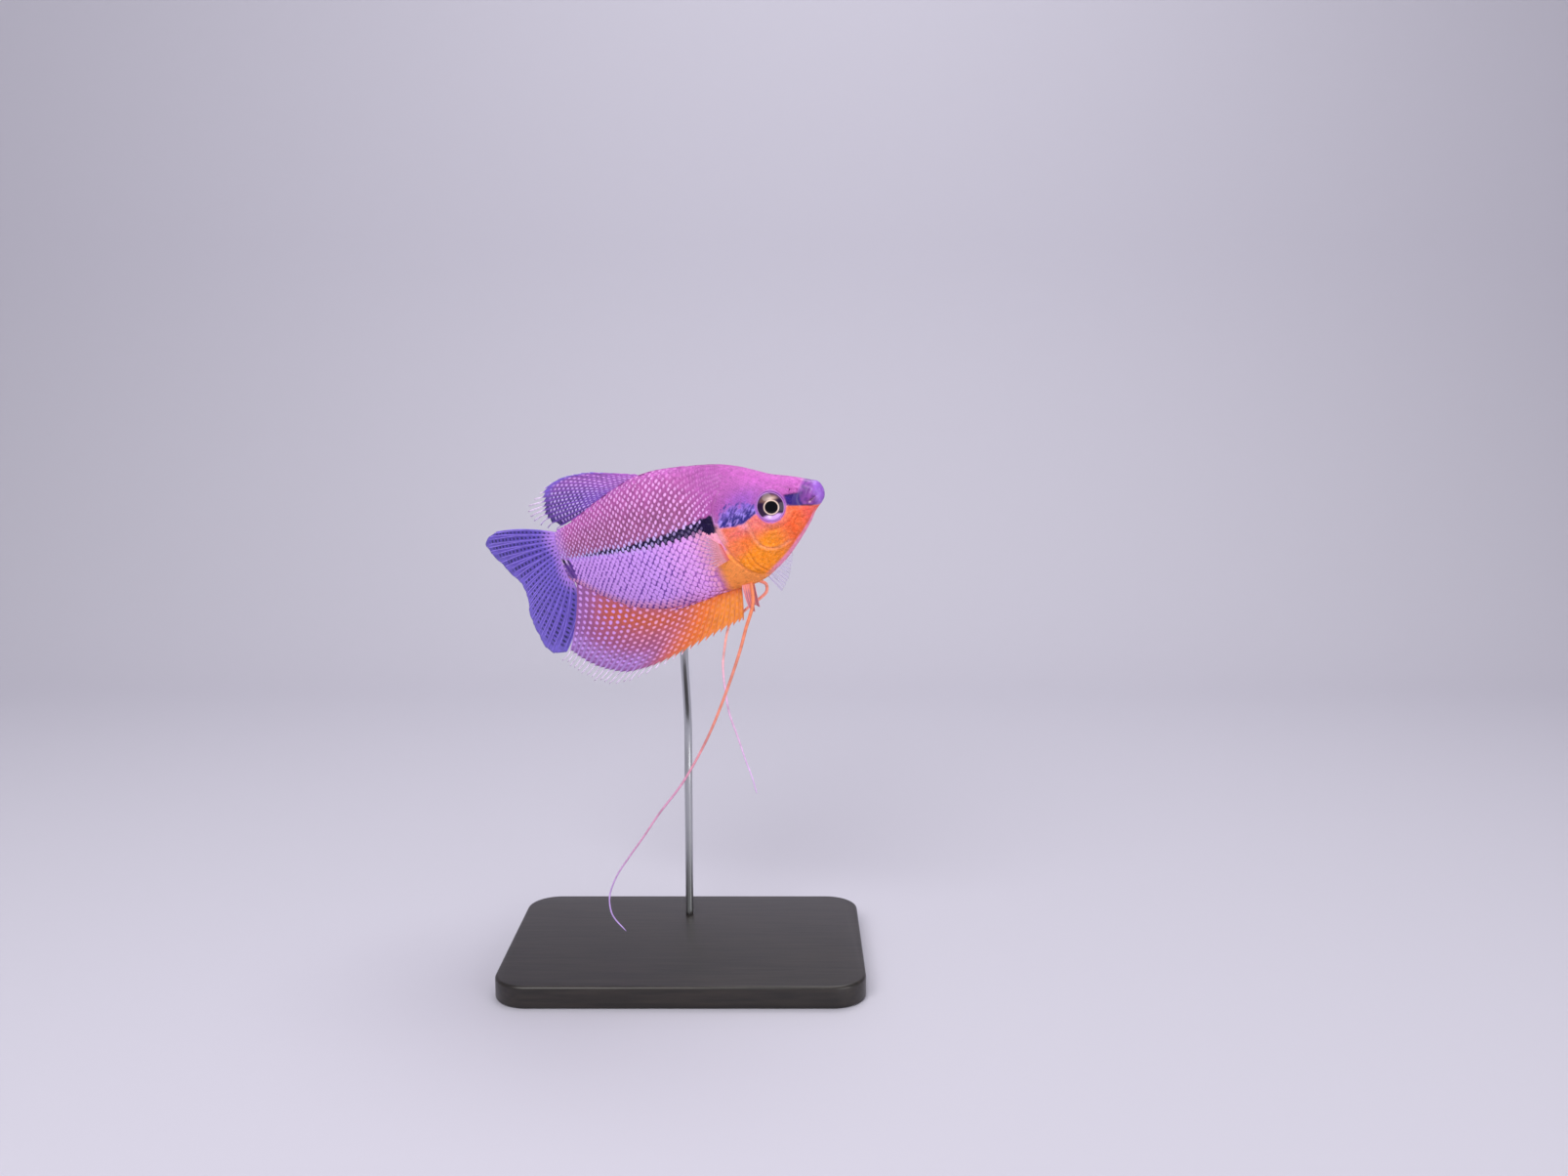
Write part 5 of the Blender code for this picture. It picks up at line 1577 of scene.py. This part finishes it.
def pelvic_ray(side):
    places = np.linspace(0, 1, 21)
    low = [skin_height(0.316 + 0.030 * u, 1.5, belly) for u in places]

    def ray(u, v):
        root = triple((0.316 + 0.030 * u) * LENGTH, side * 1.5, np.interp(u, places, low) + 0.3)
        tip = triple(26.2 + 1.3 * u, side * (2.4 - 0.5 * u), low[0] - 7.9 + 1.5 * u)
        return bent(root, (root + tip) / 2 + triple(0.5 * u, 0, 0), tip, v)

    return ray


def web_tints(u, share, distance):
    streaks = np.abs(np.sin(math.pi * u * 4)) * ease(share, 0.10, 0.35)
    colours = over(spread("F4967E", u), ("A86C88", streaks * 0.8), ("F2A0A0", ease(u, 0.75, 1.0)))
    return colours, spread("8A5A9A", u), np.full(u.shape, 0.15)


WEB_FINISH = fin_material("pelvic membrane", 0.5, 1.6, 0.2, 0.5, 0.5)
FEELER_STEPS, FEELER_SIDES = 130, 12
for (side, word), route, thick, (first, *codes) in (
    (SIDES[0], NEAR_FEELER, 0.50, ("EE8C58", "E49278", "DCA4C0", "C8B0EC")),
    (SIDES[1], FAR_FEELER, 0.46, ("FF9E80", "FFB8A0", "E4BEDC", "DCC0E8")),
):
    put(membrane("pelvic_web_" + word, pelvic_ray(side), 5, even(0.93), even(0.03), web_tints,
                 WEB_FINISH, wave=0.1, rows=24), slot="feeler_" + word)
    start = posed((0.313 * LENGTH, side * 1.5, skin_height(0.313, 1.5, belly) + 0.4))
    path = smooth_path([start] + [SNOUT_AT + np.array(p) for p in route], FEELER_STEPS)
    share = np.linspace(0, 1, FEELER_STEPS)[None]
    radii = thick * (1 - 0.62 * share ** 0.8) * (1 - 0.6 * ease(share, 0.985, 1.0))
    tint = over(spread(first, share), *((code, ease(share, at - 0.12, at + 0.15))
                                        for code, at in zip(codes, (0.12, 0.45, 0.8))))
    feeler = dress(strands("feeler_" + word, path[None], radii, FEELER_SIDES), RAY_FINISH,
                   lambda flat: np.repeat(flat, FEELER_SIDES, axis=0),
                   triple(0.0, share * 100, share), tint, tint, 0 * share)
    put(feeler, "pelvic_fin_" + word, slot="feeler_" + word, bend=False)

# %% [markdown]
# ## The eyes
#
# The eye is turned as one lens: a low dome that dives under the ring of skin. A round pupil
# sits in it with a thin golden ring, brown-gold above, nearly black before and behind, and a
# silvery lilac crescent below. A clear wet coat lies over it all.

# %% Eye paint
def eye_paint(fore, up):
    """Colours by place on the eye, in eye radii, towards the snout and up."""
    ring = np.hypot(fore, up)
    pupil = np.hypot((fore - 0.05) / 0.46, (up + 0.06) / 0.42)
    crescent = ease(-up - 0.20 * (fore + 0.15) ** 2, 0.42, 0.60) * ease(ring, 0.55, 0.7)
    return over(
        spread("2A1436", fore),
        ("6E4E48", ease(up - 0.35 * np.abs(fore), 0.10, 0.34)),
        ("E0C8B4", spot(fore, up, 0.20, 0.52, 0.35, 0.13) * 0.85),
        ("5A3A66", ease(ring, 0.78, 0.92) * ease(up, 0.2, 0.6)),
        ("DDB4EE", crescent),
        ("F6E6FC", crescent * ease(np.hypot(fore + 0.25, up + 0.62), 0.22, 0.05)),
        ("8A50B8", crescent * ease(ring, 0.86, 0.94) * 0.8),
        ("F0DCC0", hill(pupil, 1.12, 0.10)),
        ("05030C", ease(pupil, 1.04, 0.98)),
        ("D8A8EA", hill(ring, 0.985, 0.035) * 0.9),
    )


print("pupil", np.round(eye_paint(np.zeros(1), np.zeros(1))[0], 2))

# %% Eyes
EYE_FINISH, eye_tree = material("wet eye")
surface(eye_tree, stored(eye_tree, "paint"), 0.3, Specular_IOR_Level=0.05, Coat_Weight=0.8,
        Coat_Roughness=0.03, Coat_IOR=1.35)
EYE_DOME = [(x, 0.90 - 0.86 * x ** 2.4) for x in np.linspace(0.02, 1.0, 56)]
EYE_BACK = [(0.985, -0.20), (0.93, -0.42), (0.80, -0.52), (0.4, -0.56), (0.02, -0.56)]
clock = np.linspace(0, math.tau, 96, endpoint=False)
circle = np.stack([np.cos(clock), np.sin(clock)], axis=1)
up = unit(np.array((0, 0, 1.0)) - EYE_AXIS * EYE_AXIS[2])
round_it = circle @ np.stack([EYE_FORE * EYE_NARROW, up])
points = np.array([EYE_MIDDLE + EYE_RADIUS * x * round_it + EYE_AXIS * h
                   for x, h in EYE_DOME + EYE_BACK])
flat = np.array([x * circle for x, h in EYE_DOME + EYE_BACK])
steps, around = points.shape[:2]
faces = [(i * around + j, (i + 1) * around + j, (i + 1) * around + (j + 1) % around,
          i * around + (j + 1) % around) for i in range(steps - 1) for j in range(around)]
faces += [tuple(range(around)), tuple((steps - 1) * around + j for j in reversed(range(around)))]
eye_map = flat * 0.24 + (0.25, 0.5)
eye_map[len(EYE_DOME):] = flat[len(EYE_DOME):] * 0.2 + (0.75, 0.5)
for side, word in SIDES:
    eye = mesh_object("eyeball_" + word, points.reshape(-1, 3) * (1, side, 1),
                      [face[::side] for face in faces])
    write(eye.data, "paint", eye_paint(flat[..., 0], flat[..., 1]).reshape(-1, 4))
    bake_map(eye, eye_map.reshape(-1, 2))
    eye.data.materials.append(EYE_FINISH)
    put(eye, "eye_" + word, slot="eye")

# %% [markdown]
# ## The stand
#
# A fish in mid-water needs something to hold it. A flat base of black-stained wood and one
# bent steel rod, as museums use, stay out of the way. The rod rises behind the fish.

# %% Wooden base
def wood_material():
    made, tree = material("black stained wood, satin")
    place = add(tree, "ShaderNodeTexCoord").outputs["Object"]
    pores = clouds(tree, stretched(tree, place, 60.0, 900.0, 900.0), 1.0, 4.0, 0.6)
    tone = ranged(tree, pores, 0.35, 0.65)
    surface(tree, mixed(tree, tone, linear("1C1816"), linear("2C2622")), 0.38,
            Normal=relief(tree, pores, 0.25, 0.1))
    return made


def plain_material(name, code, roughness, **more):
    made, tree = material(name)
    surface(tree, linear(code), roughness, **more)
    return made


def stand_base():
    """A slab with round corners and eased edges."""
    low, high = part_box("stand_base")
    wide, deep, thick = ((b - a) / MM for a, b in zip(low, high))
    outline = []
    for x, y, start in ((1, 1, 0), (-1, 1, 1), (-1, -1, 2), (1, -1, 3)):
        for angle in (start + np.arange(13) / 12) * math.pi / 2:
            outline.append((x * (wide / 2 - CORNER) + CORNER * math.cos(angle),
                            y * (deep / 2 - CORNER) + CORNER * math.sin(angle)))
    count = len(outline)
    points = [(x, y, z) for z in (0.0, thick) for x, y in outline]
    faces = [tuple(reversed(range(count))), tuple(range(count, 2 * count))]
    faces += [(k, (k + 1) % count, count + (k + 1) % count, count + k) for k in range(count)]
    base = mesh_object("display_base", points, faces)
    soften = base.modifiers.new("eased edge", "BEVEL")
    soften.width, soften.segments, soften.limit_method = 0.8, 4, "ANGLE"
    return plain_mesh(base)


CORNER, ROD_RADIUS = 9.0, 1.1
base = stand_base()
base.data.materials.append(wood_material())
put(base, "stand_base", slot="base_wood", bend=False)

# %% Steel rod
top = posed((0.58 * LENGTH, -2.7, skin_height(0.58, 2.7, belly)))
lean = unit(np.array((0.0, -0.36, 1.0)))
neck, foot = top - lean * 22.0, np.array((top[0], 18.0, 5.5))
upright = [foot + (np.array((foot[0], foot[1], neck[2])) - foot) * k / 4 for k in range(4)]
route = smooth_path(upright + [neck, top - lean * 4.0, top + lean * 1.2], 60)
rod = strands("display_rod", route[None], np.full((1, 60), ROD_RADIUS), sides=32)
rod.data.materials.append(plain_material("satin steel rod", "B9BBBD", 0.32, Metallic=1.0))
put(rod, "stand_rod", slot="rod_steel", bend=False)

# %% [markdown]
# ## The studio
#
# A seamless sweep of pale card and large soft lights, as for any product. The card is a
# middle grey-lilac, so that the white threads and pearls still stand out against it.

# %% Studio
def sweep():
    profile = [(-1.2, 0.0)] + [(0.35 + 0.25 * math.sin(a), 0.25 - 0.25 * math.cos(a))
                               for a in np.linspace(0, math.pi / 2, 17)] + [(0.60, 1.4)]
    points = [(x, y, z) for y, z in profile for x in (-1.6, 1.6)]
    faces = [(2 * k, 2 * k + 1, 2 * k + 3, 2 * k + 2) for k in range(len(profile) - 1)]
    card = mesh_object("card", points, faces)
    card.data.shade_smooth()
    card.data.materials.append(plain_material("pale card", "C9C6D2", 0.9))
    return card


def soft_light(name, at, size, watts):
    """A round lamp that faces the fish."""
    lamp = bpy.data.lights.new(name, "AREA")
    lamp.shape, lamp.size, lamp.energy = "DISK", size, watts
    obj = bpy.data.objects.new(name, lamp)
    obj.location = at
    obj.rotation_euler = (AIM - Vector(at)).to_track_quat("-Z", "Y").to_euler()
    bpy.context.scene.collection.objects.link(obj)
    return obj


AIM = Vector((0, 0, 0.10))
sweep()
soft_light("key", (-0.25, -0.60, 0.62), 0.55, 4.8)
soft_light("fill", (0.50, -0.55, 0.10), 0.60, 2.9)
soft_light("top", (0.10, 0.20, 0.80), 0.50, 3.0)
world = bpy.data.worlds.new("studio")
world.use_nodes = True
background = world.node_tree.nodes["Background"].inputs
background["Color"].default_value = linear("E6E4EE")
background["Strength"].default_value = 0.34
bpy.context.scene.world = world
bpy.context.scene.view_settings.view_transform = "Standard"
